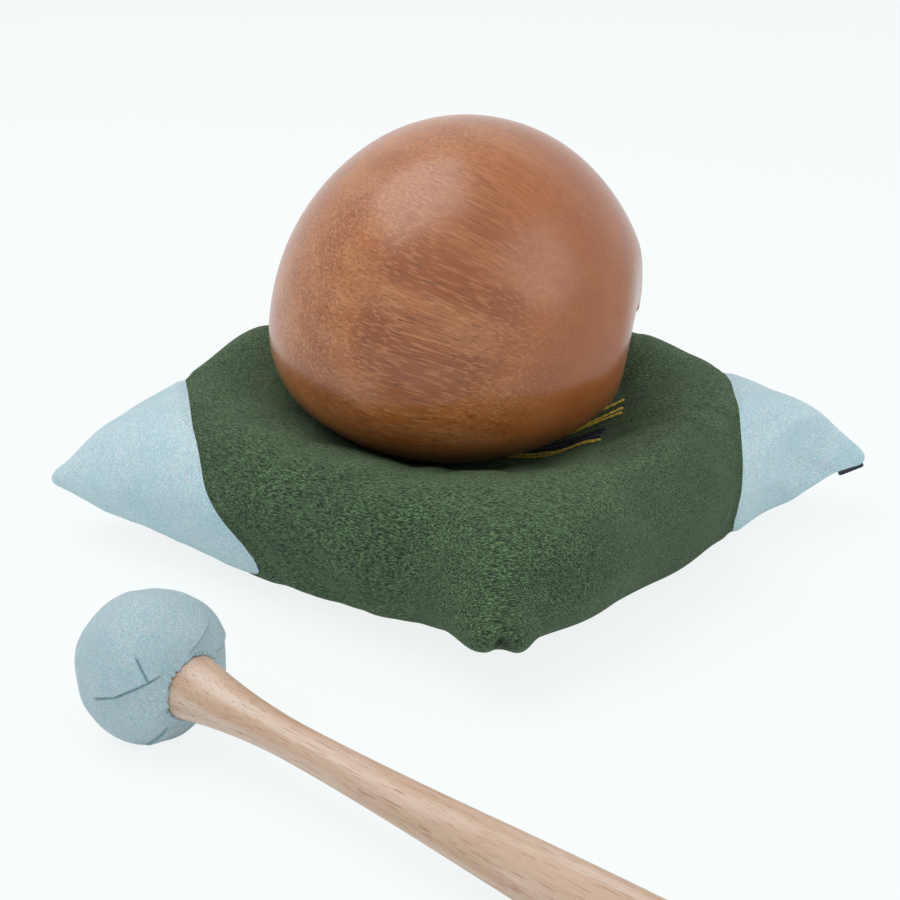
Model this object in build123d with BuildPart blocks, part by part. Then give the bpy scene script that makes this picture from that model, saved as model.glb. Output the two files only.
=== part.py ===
"""Wooden drum on a stuffed cushion, with its cloth-headed mallet. Millimetres, +Z up.

The origin is the centre of the cushion's flat underside. The cushion's left and right corners lie along X,
its front corner points to -Y. The drum's mouth faces +Y. The mallet lies on the floor in front, to the left.
"""

import os
from math import asin, atan2, cos, hypot, radians, sin, sqrt, tan, tau

from build123d import *

os.makedirs("parts", exist_ok=True)

# Shared clearances
cut_overrun = 5
soft_clearance = 0.3
fit_clearance = 0.1

# Drum
drum_width = 106
drum_height = 97
drum_widest_height = 38.5
drum_roll_angle = 4
drum_turn_angle = -15
drum_offset_x = -2.7
drum_side_wall = 9.5
drum_crown_wall = 11
drum_floor_wall = 9
crown_pole_share = 0.905
floor_pole_share = 1.245
slit_height = 6
end_hole_diameter = 17
end_hole_advance = 10
end_hole_lip_radius = 2
scoop_radius = 300
scoop_depth = 2.3
scoop_rim_radius = 12

# Cushion
side_reach = 121
front_reach = 103
back_reach = 118
side_depth = 80
crest_height = 47
corner_round = 16
cover_thickness = 1.6
wadding_slack = 1.2
left_seam_back = 84
left_seam_front = 66
right_seam_back = 82
right_seam_front = 74
seam_span = 40

# Dished seat in the cushion's top
seat_height = 25
seat_radius = 30
seat_curve_radius = 75
seat_forward = 4
crest_roll_radius = 24

# Tie through the cushion's middle, and the dimple that it draws in the underside
tie_diameter = 2
under_dimple_radius = 14
under_dimple_depth = 4.5
knot_diameter = 7
knot_thickness = 2.2

# Shape of the cushion from its underside to its crest, as shares of the sizes above
seam_height_share = 0.36
level_shares = (0, 0.13, seam_height_share, 0.57, 0.77, 0.91, 1)
reach_shares = (0.53, 0.78, 1, 0.945, 0.855, 0.74, 0.62)
depth_shares = (0.675, 0.90, 0.94, 1, 0.965, 0.90, 0.81)
round_shares = (0.75, 0.56, 0.25, 0.31, 0.5, 0.75, 1)
corner_bulge_share = 0.35

# Centre tuft: two fans of threads that lie in channels of the cloth
tuft_azimuth = -18
tuft_hub_diameter = 11
thread_thickness = 0.8
gold_bunch_width = 2.6
navy_bunch_width = 3.4
gold_long_reach = 47
gold_short_reach = 42
navy_long_reach = 38
navy_short_reach = 33
gold_long_angle = 16
gold_short_angle = -14
navy_long_angle = 1
navy_short_angle = -25

# Thread tab under the right corner
tab_length = 8
tab_width = 2
tab_thickness = 1
tab_setback = 8

# Mallet
head_diameter = 34
head_mouth_setback = 12.8
head_flat_depth = 0.3
head_cloth_thickness = 0.9
core_diameter = 20
core_length = 17
handle_length = 184
mouth_diameter = 15.5
neck_diameter = 8.6
grip_diameter = 15
butt_diameter = 12
butt_round = 3
neck_place_share = 0.17
grip_place_share = 0.74
tenon_diameter = 7
tenon_length = 21
binding_thread_diameter = 1.2
mallet_mouth_x = -70.5
mallet_mouth_y = -114
mallet_azimuth = -42


# Drum
drum_radius = drum_width / 2
drum_crown_height = drum_height - drum_widest_height
roll = radians(drum_roll_angle)
turn = radians(drum_turn_angle)
drum_reach_down = hypot(drum_widest_height * cos(roll), drum_radius * sin(roll))
drum_centre = Vector(drum_offset_x, 0, seat_height + soft_clearance + drum_reach_down)
drum_up = Vector(sin(roll), 0, cos(roll))
drum_mouthward = drum_up.cross(Vector(cos(turn), sin(turn), 0)).normalized()
drum_right = drum_mouthward.cross(drum_up)
drum_frame = Plane(origin=drum_centre, x_dir=drum_right, z_dir=drum_up)
drum_section = Plane(origin=drum_centre, x_dir=drum_mouthward, z_dir=drum_right)
drum_axis = Axis(drum_centre, drum_up)


def oval_arcs(side, reach, pole_share):
    """Radius of the side arc, radius of the pole arc and their joint, for one quarter of an oval."""
    pole_radius = side * pole_share
    pole_middle = reach - pole_radius
    side_radius = (pole_radius**2 - side**2 - pole_middle**2) / (2 * (pole_radius - side))
    side_middle = side - side_radius
    apart = side_radius - pole_radius
    joint = (-side_middle / apart * pole_radius, pole_middle + pole_middle / apart * pole_radius)
    return side_radius, pole_radius, joint


def drum_form(side, crown, floor):
    """Egg-like solid about the drum's axis, from its radius and its reach above and below the widest level."""
    crown_side, crown_pole, crown_joint = oval_arcs(side, crown, crown_pole_share)
    floor_side, floor_pole, floor_joint = oval_arcs(side, floor, floor_pole_share)
    floor_joint = (floor_joint[0], -floor_joint[1])
    with BuildPart() as form:
        with BuildSketch(drum_section):
            with BuildLine():
                RadiusArc((side, 0), crown_joint, -crown_side)
                RadiusArc(crown_joint, (0, crown), -crown_pole)
                RadiusArc((side, 0), floor_joint, floor_side)
                RadiusArc(floor_joint, (0, -floor), floor_pole)
                Line((0, crown), (0, -floor))
            make_face()
        revolve(axis=drum_axis)
    return form.part


def grown_drum(growth):
    """The drum's outer form with every reach made larger by growth."""
    return drum_form(drum_radius + growth, drum_crown_height + growth, drum_widest_height + growth)


def distance_from_middle(edge):
    """How far an edge's centre lies from the drum's middle, measured along the end holes' axis."""
    return abs((edge.center() - drum_centre).dot(drum_right))


def scoop_place(end):
    """Where the large ball lies that scoops the cheek round one end hole; end is 1 at the right, -1 at the left."""
    hole_turn = asin(end_hole_advance / drum_radius)
    outward = drum_right * (end * cos(hole_turn)) + drum_mouthward * sin(hole_turn)
    return Plane(origin=drum_centre, z_dir=outward).offset(drum_radius - scoop_depth + scoop_radius).location


hole_axis_plane = Plane(
    origin=drum_centre + drum_mouthward * end_hole_advance, x_dir=drum_mouthward, z_dir=drum_right
)
hole_length = drum_width + 2 * cut_overrun
slit_reach = drum_radius - end_hole_advance + cut_overrun

with BuildPart() as drum_body:
    add(drum_form(drum_radius, drum_crown_height, drum_widest_height))
    with Locations(scoop_place(-1), scoop_place(1)):
        Sphere(scoop_radius, mode=Mode.SUBTRACT)
    fillet(drum_body.edges(Select.LAST).filter_by(GeomType.CIRCLE, reverse=True), scoop_rim_radius)
    add(
        drum_form(
            drum_radius - drum_side_wall,
            drum_crown_height - drum_crown_wall,
            drum_widest_height - drum_floor_wall,
        ),
        mode=Mode.SUBTRACT,
    )
    with BuildSketch(hole_axis_plane.offset(-hole_length / 2)):
        Circle(end_hole_diameter / 2)
    extrude(amount=hole_length, mode=Mode.SUBTRACT)
    hole_rims = drum_body.edges(Select.LAST).filter_by(
        lambda edge: distance_from_middle(edge) > drum_radius - drum_side_wall / 2
        and edge.length > tau * end_hole_diameter / 4
    )
    fillet(hole_rims, end_hole_lip_radius)
    with BuildSketch(drum_frame.offset(-slit_height / 2)):
        with Locations((0, end_hole_advance)):
            Rectangle(hole_length, slit_reach, align=(Align.CENTER, Align.MIN))
    extrude(amount=slit_height, mode=Mode.SUBTRACT)

drum_body.part.label = "drum_body"
export_step(drum_body.part, "parts/drum_body.step")


# Cushion forms
seam_height = crest_height * seam_height_share


def pillow(plan_inset, bottom, top):
    """Four-cornered pillow between two heights, drawn in from the outline by plan_inset on every side."""
    with BuildPart() as form:
        for level, reach, depth, rounding in zip(level_shares, reach_shares, depth_shares, round_shares):
            tips = [
                Vector(side_reach * reach - plan_inset, 0),
                Vector(0, back_reach * reach - plan_inset),
                Vector(plan_inset - side_reach * reach, 0),
                Vector(0, plan_inset - front_reach * reach),
            ]
            half_width = corner_round * rounding
            side_middle = (side_depth * depth - plan_inset) / sqrt(2)
            with BuildSketch(Plane.XY.offset(bottom + (top - bottom) * level)):
                with BuildLine():
                    for place, tip in enumerate(tips):
                        next_tip = tips[(place + 1) % len(tips)]
                        outward = tip.normalized()
                        across = next_tip.normalized()
                        setback = outward * half_width * corner_bulge_share
                        next_setback = across * half_width * corner_bulge_share
                        corner_end = tip - setback + across * half_width
                        ThreePointArc(tip - setback - across * half_width, tip, corner_end)
                        ThreePointArc(
                            corner_end,
                            (outward + across) * side_middle,
                            next_tip - next_setback + outward * half_width,
                        )
                make_face()
        loft(ruled=True)
    return form.part


def seat_space(drop):
    """Everything that the seat's hollow leaves free, the drum's place with it, lowered and widened by drop."""
    floor = seat_height - drop
    crest = crest_height - drop
    slope = asin(seat_radius / seat_curve_radius)
    cone_start = floor + seat_curve_radius * (1 - cos(slope))
    cone_end = crest - crest_roll_radius * (1 - cos(slope))
    cone_reach = seat_radius + (cone_end - cone_start) / tan(slope)
    crest_reach = cone_reach + crest_roll_radius * sin(slope)
    lid = crest_height + cut_overrun
    with BuildPart() as space:
        with BuildSketch(Plane.YZ):
            with BuildLine():
                RadiusArc((0, floor), (seat_radius, cone_start), -seat_curve_radius)
                Line((seat_radius, cone_start), (cone_reach, cone_end))
                RadiusArc((cone_reach, cone_end), (crest_reach, crest), crest_roll_radius)
                Polyline((crest_reach, crest), (crest_reach, lid), (0, lid), (0, floor))
            make_face()
        revolve(axis=Axis.Z)
    with BuildPart() as joined:
        add(space.part.moved(Location((0, -seat_forward, 0))))
        add(grown_drum(soft_clearance + drop))
    return joined.part


def under_dimple(growth):
    """Ball that draws the middle of the underside in, made larger by growth."""
    ball_radius = hypot(under_dimple_radius, under_dimple_depth) ** 2 / (2 * under_dimple_depth)
    with BuildPart(Location((0, 0, under_dimple_depth - ball_radius))) as ball:
        Sphere(ball_radius + growth)
    return ball.part


def seam_plane(side):
    """Upright plane of one colour seam, facing out; side is 1 at the right and -1 at the left."""
    back, front = (right_seam_back, right_seam_front) if side > 0 else (left_seam_back, left_seam_front)
    lean = (back - front) / (2 * seam_span)
    return Plane(origin=(side * (back + front) / 2, 0, 0), z_dir=(side, -lean, 0))


def threads(bunches, width, growth):
    """Upright bars over both fans of one colour, from the middle out to each bunch's reach."""
    with BuildPart() as bars:
        with BuildSketch(Plane.XY):
            for fan_turn in (0, 180):
                for azimuth, reach in bunches:
                    with Locations(Location((0, 0, 0), (0, 0, 1), tuft_azimuth + azimuth + fan_turn)):
                        Rectangle(reach + growth, width + 2 * growth, align=(Align.MIN, Align.CENTER))
        extrude(amount=crest_height)
    return bars.part


tie_hole_radius = tie_diameter / 2 + fit_clearance
seat_surface = seat_space(0)
seat_lining = seat_space(cover_thickness)

with BuildPart() as cover:
    add(pillow(0, 0, crest_height))
    add(seat_surface, mode=Mode.SUBTRACT)
    add(under_dimple(0), mode=Mode.SUBTRACT)

with BuildPart() as cover_hollow:
    add(pillow(cover_thickness, cover_thickness, crest_height - cover_thickness))
    add(seat_lining, mode=Mode.SUBTRACT)
    add(under_dimple(cover_thickness), mode=Mode.SUBTRACT)

with BuildPart() as cover_shell:
    add(cover.part)
    add(cover_hollow.part, mode=Mode.SUBTRACT)
    Cylinder(
        tie_hole_radius, crest_height, align=(Align.CENTER, Align.CENTER, Align.MIN), mode=Mode.SUBTRACT
    )


def cloth(keep_height, corner):
    """Cover's cloth above or below the seam level; corner is -1 for the left, 1 for the right, 0 between."""
    with BuildPart() as cut_cloth:
        add(cover_shell.part)
        split(bisect_by=Plane.XY.offset(seam_height), keep=keep_height)
        for side in (-1, 1):
            if corner in (0, side):
                split(bisect_by=seam_plane(side), keep=Keep.TOP if corner else Keep.BOTTOM)
    return cut_cloth.part


# Centre tuft threads, sunk into the cloth by their own thickness
hub_radius = tuft_hub_diameter / 2
thread_bed = seat_space(thread_thickness)
gold_bunches = ((gold_long_angle, gold_long_reach), (gold_short_angle, gold_short_reach))
navy_bunches = ((navy_long_angle, navy_long_reach), (navy_short_angle, navy_short_reach))

with BuildPart() as gold_bars:
    add(threads(gold_bunches, gold_bunch_width, 0))
    Cylinder(hub_radius, crest_height, align=(Align.CENTER, Align.CENTER, Align.MIN))

with BuildPart() as gold_channel:
    add(threads(gold_bunches, gold_bunch_width, fit_clearance))
    Cylinder(hub_radius + fit_clearance, crest_height, align=(Align.CENTER, Align.CENTER, Align.MIN))

with BuildPart() as tuft_gold_threads:
    add(gold_bars.part)
    add(thread_bed, mode=Mode.INTERSECT)
    add(seat_surface, mode=Mode.SUBTRACT)

tuft_gold_threads.part.label = "tuft_gold_threads"
export_step(tuft_gold_threads.part, "parts/tuft_gold_threads.step")

with BuildPart() as tuft_navy_threads:
    add(threads(navy_bunches, navy_bunch_width, 0))
    add(gold_channel.part, mode=Mode.SUBTRACT)
    add(thread_bed, mode=Mode.INTERSECT)
    add(seat_surface, mode=Mode.SUBTRACT)

tuft_navy_threads.part.label = "tuft_navy_threads"
export_step(tuft_navy_threads.part, "parts/tuft_navy_threads.step")

with BuildPart() as thread_channels:
    add(gold_channel.part)
    add(threads(navy_bunches, navy_bunch_width, fit_clearance))
    add(thread_bed, mode=Mode.INTERSECT)


# Cushion cover
with BuildPart() as cushion_top_crepe:
    add(cloth(Keep.TOP, 0))
    add(thread_channels.part, mode=Mode.SUBTRACT)

cushion_top_crepe.part.label = "cushion_top_crepe"
export_step(cushion_top_crepe.part, "parts/cushion_top_crepe.step")

with BuildPart() as cushion_top_corner_left:
    add(cloth(Keep.TOP, -1))

cushion_top_corner_left.part.label = "cushion_top_corner_left"
export_step(cushion_top_corner_left.part, "parts/cushion_top_corner_left.step")

with BuildPart() as cushion_top_corner_right:
    add(cloth(Keep.TOP, 1))

cushion_top_corner_right.part.label = "cushion_top_corner_right"
export_step(cushion_top_corner_right.part, "parts/cushion_top_corner_right.step")

with BuildPart() as cushion_base_crepe:
    add(cloth(Keep.BOTTOM, 0))

cushion_base_crepe.part.label = "cushion_base_crepe"
export_step(cushion_base_crepe.part, "parts/cushion_base_crepe.step")

with BuildPart() as cushion_base_corner_left:
    add(cloth(Keep.BOTTOM, -1))

cushion_base_corner_left.part.label = "cushion_base_corner_left"
export_step(cushion_base_corner_left.part, "parts/cushion_base_corner_left.step")

with BuildPart() as cushion_base_corner_right:
    add(cloth(Keep.BOTTOM, 1))

cushion_base_corner_right.part.label = "cushion_base_corner_right"
export_step(cushion_base_corner_right.part, "parts/cushion_base_corner_right.step")


# Wadding: it bears on the cover under the drum and over the floor, and stays a little clear at the sides
with BuildPart() as cushion_wadding:
    add(
        pillow(
            cover_thickness + wadding_slack, cover_thickness, crest_height - cover_thickness - wadding_slack
        )
    )
    add(seat_lining, mode=Mode.SUBTRACT)
    add(under_dimple(cover_thickness), mode=Mode.SUBTRACT)
    Cylinder(
        tie_hole_radius, crest_height, align=(Align.CENTER, Align.CENTER, Align.MIN), mode=Mode.SUBTRACT
    )

cushion_wadding.part.label = "cushion_wadding"
export_step(cushion_wadding.part, "parts/cushion_wadding.step")


# Tie thread from the knot under the cushion up to the tuft's hub
with BuildPart() as cushion_tie:
    Cylinder(tie_diameter / 2, crest_height, align=(Align.CENTER, Align.CENTER, Align.MIN))
    add(under_dimple(0), mode=Mode.SUBTRACT)
    add(thread_bed, mode=Mode.SUBTRACT)

cushion_tie.part.label = "cushion_tie"
export_step(cushion_tie.part, "parts/cushion_tie.step")

with BuildPart() as tie_knot:
    with Locations((0, 0, under_dimple_depth - knot_thickness)):
        Cylinder(knot_diameter / 2, crest_height, align=(Align.CENTER, Align.CENTER, Align.MIN))
    fillet(tie_knot.edges().group_by(Axis.Z)[0], knot_thickness / 3)
    add(under_dimple(0), mode=Mode.INTERSECT)

tie_knot.part.label = "tie_knot"
export_step(tie_knot.part, "parts/tie_knot.step")


# Thread tab that lies against the cloth under the right corner
tab_reach = side_reach - tab_setback / 2
low_reach = side_reach * reach_shares[1]
tab_slope = (level_shares[2] - level_shares[1]) * crest_height / (side_reach - low_reach)
tab_middle_height = seam_height - tab_slope * (side_reach - tab_reach)
tab_plane = Plane(origin=(tab_reach, 0, tab_middle_height), x_dir=(1, 0, tab_slope), z_dir=(-tab_slope, 0, 1))

with BuildPart() as corner_tab:
    with BuildSketch(tab_plane.offset(-tab_thickness)):
        SlotOverall(tab_length, tab_width)
    extrude(amount=tab_thickness)

corner_tab.part.label = "corner_tab"
export_step(corner_tab.part, "parts/corner_tab.step")


# Mallet: it lies on its head and on the end of its handle
head_radius = head_diameter / 2
butt_radius = butt_diameter / 2
rest_span = handle_length - butt_round + head_mouth_setback
mallet_dip = asin((head_radius - head_flat_depth) / hypot(rest_span, butt_radius)) - atan2(butt_radius, rest_span)
mouth_height = head_radius - head_flat_depth - head_mouth_setback * sin(mallet_dip)
mallet_mouth = Vector(mallet_mouth_x, mallet_mouth_y, mouth_height)
heading = radians(mallet_azimuth)
mallet_along = Vector(
    cos(heading) * cos(mallet_dip), sin(heading) * cos(mallet_dip), -sin(mallet_dip)
)
mallet_section = Plane(origin=mallet_mouth, x_dir=mallet_along, z_dir=(sin(heading), -cos(heading), 0))
mallet_axis = Axis(mallet_mouth, mallet_along)


def head_form(inset):
    """Round mallet head, cut flat at its mouth, with every face drawn in by inset."""
    with BuildPart() as form:
        with Locations(mallet_section.location * Location((-head_mouth_setback, 0, 0), (0, 1, 0), 90)):
            Sphere(head_radius - inset)
        split(
            bisect_by=Plane(origin=mallet_mouth - mallet_along * inset, z_dir=mallet_along), keep=Keep.BOTTOM
        )
    return form.part


def mallet_rod(start, end, diameter):
    """Round rod on the mallet's axis between two distances from the mouth."""
    with BuildPart() as rod:
        with BuildSketch(Plane(origin=mallet_mouth + mallet_along * start, z_dir=mallet_along)):
            Circle(diameter / 2)
        extrude(amount=end - start)
    return rod.part


with BuildPart() as mallet_handle:
    neck_place = handle_length * neck_place_share
    grip_place = handle_length * grip_place_share
    with BuildSketch(mallet_section):
        with BuildLine():
            Spline((0, mouth_diameter / 2), (neck_place, neck_diameter / 2), tangents=[(1, -0.35), (1, 0)])
            Spline((neck_place, neck_diameter / 2), (grip_place, grip_diameter / 2), tangents=[(1, 0), (1, 0)])
            Spline((grip_place, grip_diameter / 2), (handle_length, butt_radius), tangents=[(1, 0), (1, -0.05)])
            Polyline((handle_length, butt_radius), (handle_length, 0), (0, 0), (0, mouth_diameter / 2))
        make_face()
    revolve(axis=mallet_axis)
    fillet(mallet_handle.edges().sort_by_distance(mallet_mouth + mallet_along * handle_length)[0], butt_round)
    add(mallet_rod(-tenon_length, 0, tenon_diameter))

mallet_handle.part.label = "mallet_handle"
export_step(mallet_handle.part, "parts/mallet_handle.step")

with BuildPart() as mallet_core:
    add(mallet_rod(-tenon_length, core_length - tenon_length, core_diameter))
    add(mallet_rod(-handle_length, handle_length, tenon_diameter + 2 * fit_clearance), mode=Mode.SUBTRACT)

mallet_core.part.label = "mallet_core"
export_step(mallet_core.part, "parts/mallet_core.step")

with BuildPart() as mallet_padding:
    add(head_form(head_cloth_thickness))
    add(mallet_core.part, mode=Mode.SUBTRACT)
    add(mallet_rod(-tenon_length, cut_overrun, tenon_diameter + 2 * fit_clearance), mode=Mode.SUBTRACT)

mallet_padding.part.label = "mallet_padding"
export_step(mallet_padding.part, "parts/mallet_padding.step")

with BuildPart() as mallet_cover:
    add(head_form(0))
    add(head_form(head_cloth_thickness), mode=Mode.SUBTRACT)
    add(mallet_rod(-2 * head_cloth_thickness, cut_overrun, mouth_diameter), mode=Mode.SUBTRACT)
    split(bisect_by=Plane.XY, keep=Keep.TOP)

mallet_cover.part.label = "mallet_cover"
export_step(mallet_cover.part, "parts/mallet_cover.step")

# Ring of thread that holds the gathered cloth to the handle's flared end
binding_reach = mouth_diameter / 2 + binding_thread_diameter / 2
with BuildPart() as mallet_binding:
    with BuildSketch(mallet_section):
        with Locations((binding_thread_diameter / 2, binding_reach)):
            Circle(binding_thread_diameter / 2)
    revolve(axis=mallet_axis)

mallet_binding.part.label = "mallet_binding"
export_step(mallet_binding.part, "parts/mallet_binding.step")
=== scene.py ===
"""Dresses a wooden fish drum, its tied cushion and its mallet, and stages them for one photograph.

Metres throughout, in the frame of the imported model: +Z up, origin under the middle of the cushion.
"""

from __future__ import annotations

import logging
import math
from dataclasses import dataclass, field
from enum import Enum

import bmesh
import bpy
import numpy as np
from mathutils import Matrix, Vector
from mathutils.bvhtree import BVHTree

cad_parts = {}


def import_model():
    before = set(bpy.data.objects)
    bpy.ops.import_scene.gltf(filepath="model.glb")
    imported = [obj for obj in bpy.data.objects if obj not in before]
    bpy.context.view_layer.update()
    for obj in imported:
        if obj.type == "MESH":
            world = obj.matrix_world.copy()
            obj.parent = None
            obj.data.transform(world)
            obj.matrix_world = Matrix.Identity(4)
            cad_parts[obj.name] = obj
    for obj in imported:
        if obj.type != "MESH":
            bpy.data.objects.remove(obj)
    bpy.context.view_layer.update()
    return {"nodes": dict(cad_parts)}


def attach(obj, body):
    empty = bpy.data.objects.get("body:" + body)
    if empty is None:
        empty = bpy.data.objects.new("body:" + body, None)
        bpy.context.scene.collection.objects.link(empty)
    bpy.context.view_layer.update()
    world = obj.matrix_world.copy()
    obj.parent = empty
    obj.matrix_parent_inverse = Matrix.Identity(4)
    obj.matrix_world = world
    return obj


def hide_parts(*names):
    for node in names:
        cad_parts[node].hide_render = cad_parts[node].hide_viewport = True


log = logging.getLogger("wooden_fish")
Array = np.ndarray

# Direction that no thread runs along, from which a tube's section is laid out
ODD_DIRECTION = (0.31, 0.17, 0.93)


class Body(str, Enum):
    """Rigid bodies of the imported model."""

    CUSHION = "cushion"
    DRUM = "drum"
    MALLET = "mallet"


class Slot(str, Enum):
    """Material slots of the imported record."""

    DRUM_WOOD = "drum_wood"
    CREPE = "green_crepe"
    WEAVE = "blue_weave"
    WADDING = "cotton_wadding"
    GOLD = "gold_thread"
    NAVY = "navy_thread"
    BEECH = "beech"
    CORE = "core_wood"
    HEAD_CLOTH = "head_cloth"


# Small mathematics


def unit(vector: Array) -> Array:
    """Scale vectors to length one.

    Args:
        vector: One vector, or rows of vectors.

    Returns:
        The same shape, each vector of length one.
    """
    return vector / np.linalg.norm(vector, axis=-1, keepdims=True)


def bell(distance: Array, width: float) -> Array:
    """Smooth bump that is one at zero and fades over about twice its width."""
    return np.exp(-((distance / width) ** 2))


def smooth_step(value: Array, low: float, high: float) -> Array:
    """Zero below low, one above high, and smooth between them."""
    share = np.clip((value - low) / (high - low), 0.0, 1.0)
    return share * share * (3.0 - 2.0 * share)


def smooth_max(a: Array, b: Array, blend: float) -> Array:
    """Larger of two fields, rounded over a distance where they meet."""
    overlap = np.maximum(blend - np.abs(a - b), 0.0) / blend
    return np.maximum(a, b) + overlap * overlap * blend / 4.0


def table_curve(places: Array, values: tuple[float, ...]) -> Array:
    """Read a table along a smooth curve through its values.

    Args:
        places: Positions in the table, from zero to its last index.
        values: The table.

    Returns:
        One value for each place.
    """
    table = np.asarray(values, dtype=float)
    index = np.clip(np.floor(places).astype(int), 0, len(table) - 2)
    share = places - index
    before = table[np.maximum(index - 1, 0)]
    after = table[np.minimum(index + 2, len(table) - 1)]
    low, high = table[index], table[index + 1]
    pull_in, pull_out = (high - before) / 2.0, (after - low) / 2.0
    square, cube = share**2, share**3
    return (
        (2 * cube - 3 * square + 1) * low
        + (cube - 2 * square + share) * pull_in
        + (3 * square - 2 * cube) * high
        + (cube - square) * pull_out
    )


def arc(start: Array, middle: Array, end: Array, count: int) -> Array:
    """Points along the plane arc through three points.

    Args:
        start: First point.
        middle: A point on the arc between the others.
        end: Last point.
        count: How many points to return.

    Returns:
        Rows of points from start to end.
    """
    chord, lean = end - start, middle - start
    cross = chord[0] * lean[1] - chord[1] * lean[0]
    if abs(cross) < 1e-9:
        return start + np.linspace(0, 1, count)[:, None] * chord
    square = np.array([chord @ chord, lean @ lean])
    offset = np.array(
        [lean[1] * square[0] - chord[1] * square[1], chord[0] * square[1] - lean[0] * square[0]]
    ) / (2.0 * cross)
    centre = start + offset
    from_centre = start - centre
    first = math.atan2(from_centre[1], from_centre[0])
    towards = end - centre
    turn = math.atan2(towards[1], towards[0]) - first
    turn = (turn + math.pi) % (2 * math.pi) - math.pi
    angles = first + np.linspace(0, 1, count) * turn
    radius = np.linalg.norm(from_centre)
    return centre + radius * np.stack([np.cos(angles), np.sin(angles)], axis=1)


def corner_steps(line: Array, count: int, crowding: float = 0.5) -> Array:
    """Resample a polyline with shorter steps near its ends, without its last point."""
    steps = np.linalg.norm(np.diff(line, axis=0), axis=1)
    along = np.concatenate([[0.0], np.cumsum(steps)])
    share = np.linspace(0.0, 1.0, count, endpoint=False)
    wanted = along[-1] * (share - crowding * np.sin(2 * math.pi * share) / (2 * math.pi))
    return np.stack([np.interp(wanted, along, line[:, axis]) for axis in range(line.shape[1])], axis=1)


def ripples(points: Array, size: float, seed: int) -> Array:
    """Soft, repeatable unevenness made from a few waves in seeded directions.

    Args:
        points: Rows of places.
        size: Typical distance between two crests.
        seed: Which of the patterns to give.

    Returns:
        One value for each point, mostly between minus one and one.
    """
    random = np.random.default_rng(seed)
    total = np.zeros(len(points))
    for _ in range(9):
        direction = unit(random.normal(size=3)) * random.uniform(0.7, 1.5)
        total += np.sin(points @ direction * (2 * math.pi / size) + random.uniform(0, 2 * math.pi))
    return total / 3.0


# Mesh helpers


def coordinates(mesh: bpy.types.Mesh) -> Array:
    """Vertex places of a mesh as rows."""
    flat = np.empty(len(mesh.vertices) * 3)
    mesh.vertices.foreach_get("co", flat)
    return flat.reshape(-1, 3)


def normals(mesh: bpy.types.Mesh) -> Array:
    """Vertex normals of a mesh as rows."""
    flat = np.empty(len(mesh.vertices) * 3)
    mesh.vertices.foreach_get("normal", flat)
    return flat.reshape(-1, 3)


def place_vertices(mesh: bpy.types.Mesh, points: Array) -> None:
    """Move a mesh's vertices to new places."""
    mesh.vertices.foreach_set("co", np.ascontiguousarray(points, dtype=float).ravel())
    mesh.update()


def new_piece(name: str, bm: bmesh.types.BMesh, material: bpy.types.Material) -> bpy.types.Object:
    """Turn a bmesh into a smooth-shaded object of the scene.

    Args:
        name: Name of the piece.
        bm: Its geometry, freed afterwards.
        material: Its finish.

    Returns:
        The new object, at the world's origin.
    """
    mesh = bpy.data.meshes.new(name)
    bm.to_mesh(mesh)
    bm.free()
    mesh.materials.append(material)
    mesh.shade_smooth()
    piece = bpy.data.objects.new(name, mesh)
    bpy.context.scene.collection.objects.link(piece)
    return piece


def apply_modifiers(piece: bpy.types.Object) -> None:
    """Bake a piece's modifiers into its mesh."""
    bpy.context.view_layer.update()
    evaluated = piece.evaluated_get(bpy.context.evaluated_depsgraph_get())
    mesh = bpy.data.meshes.new_from_object(evaluated)
    piece.modifiers.clear()
    piece.data = mesh
    mesh.name = piece.name


def subdivide(piece: bpy.types.Object, levels: int) -> None:
    """Subdivide a piece and bake the result."""
    modifier = piece.modifiers.new("finer", "SUBSURF")
    modifier.levels = levels
    modifier.render_levels = levels
    apply_modifiers(piece)
    piece.data.shade_smooth()


def skin_rings(rings: list[Array]) -> bmesh.types.BMesh:
    """Skin a row of rings that all have as many points, and close both ends round a middle point.

    Args:
        rings: Rows of points for each ring, in order.

    Returns:
        The skinned bmesh, with its faces pointing out.
    """
    bm = bmesh.new()
    loops = [[bm.verts.new(point) for point in ring] for ring in rings]
    count = len(loops[0])
    for lower, upper in zip(loops, loops[1:]):
        for place in range(count):
            after = (place + 1) % count
            bm.faces.new((lower[place], lower[after], upper[after], upper[place]))
    for loop in (loops[0], loops[-1]):
        middle = bm.verts.new(sum((vert.co for vert in loop), Vector()) / count)
        for place in range(count):
            bm.faces.new((loop[place], loop[(place + 1) % count], middle))
    bmesh.ops.recalc_face_normals(bm, faces=bm.faces)
    return bm


def turned(profile: Array, segments: int) -> bmesh.types.BMesh:
    """Spin a profile about the X axis.

    Args:
        profile: Rows of (distance along the axis, radius); its ends lie on the axis or stay open.
        segments: Steps in the full turn.

    Returns:
        The turned bmesh, with its faces pointing out.
    """
    bm = bmesh.new()
    verts = [bm.verts.new((along, 0.0, radius)) for along, radius in profile]
    edges = [bm.edges.new(pair) for pair in zip(verts, verts[1:])]
    bmesh.ops.spin(
        bm,
        geom=verts + edges,
        cent=(0, 0, 0),
        axis=(1, 0, 0),
        angle=2 * math.pi,
        steps=segments,
        use_merge=True,
        use_duplicate=False,
    )
    bmesh.ops.remove_doubles(bm, verts=bm.verts, dist=1e-6)
    bmesh.ops.recalc_face_normals(bm, faces=bm.faces)
    return bm


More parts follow.
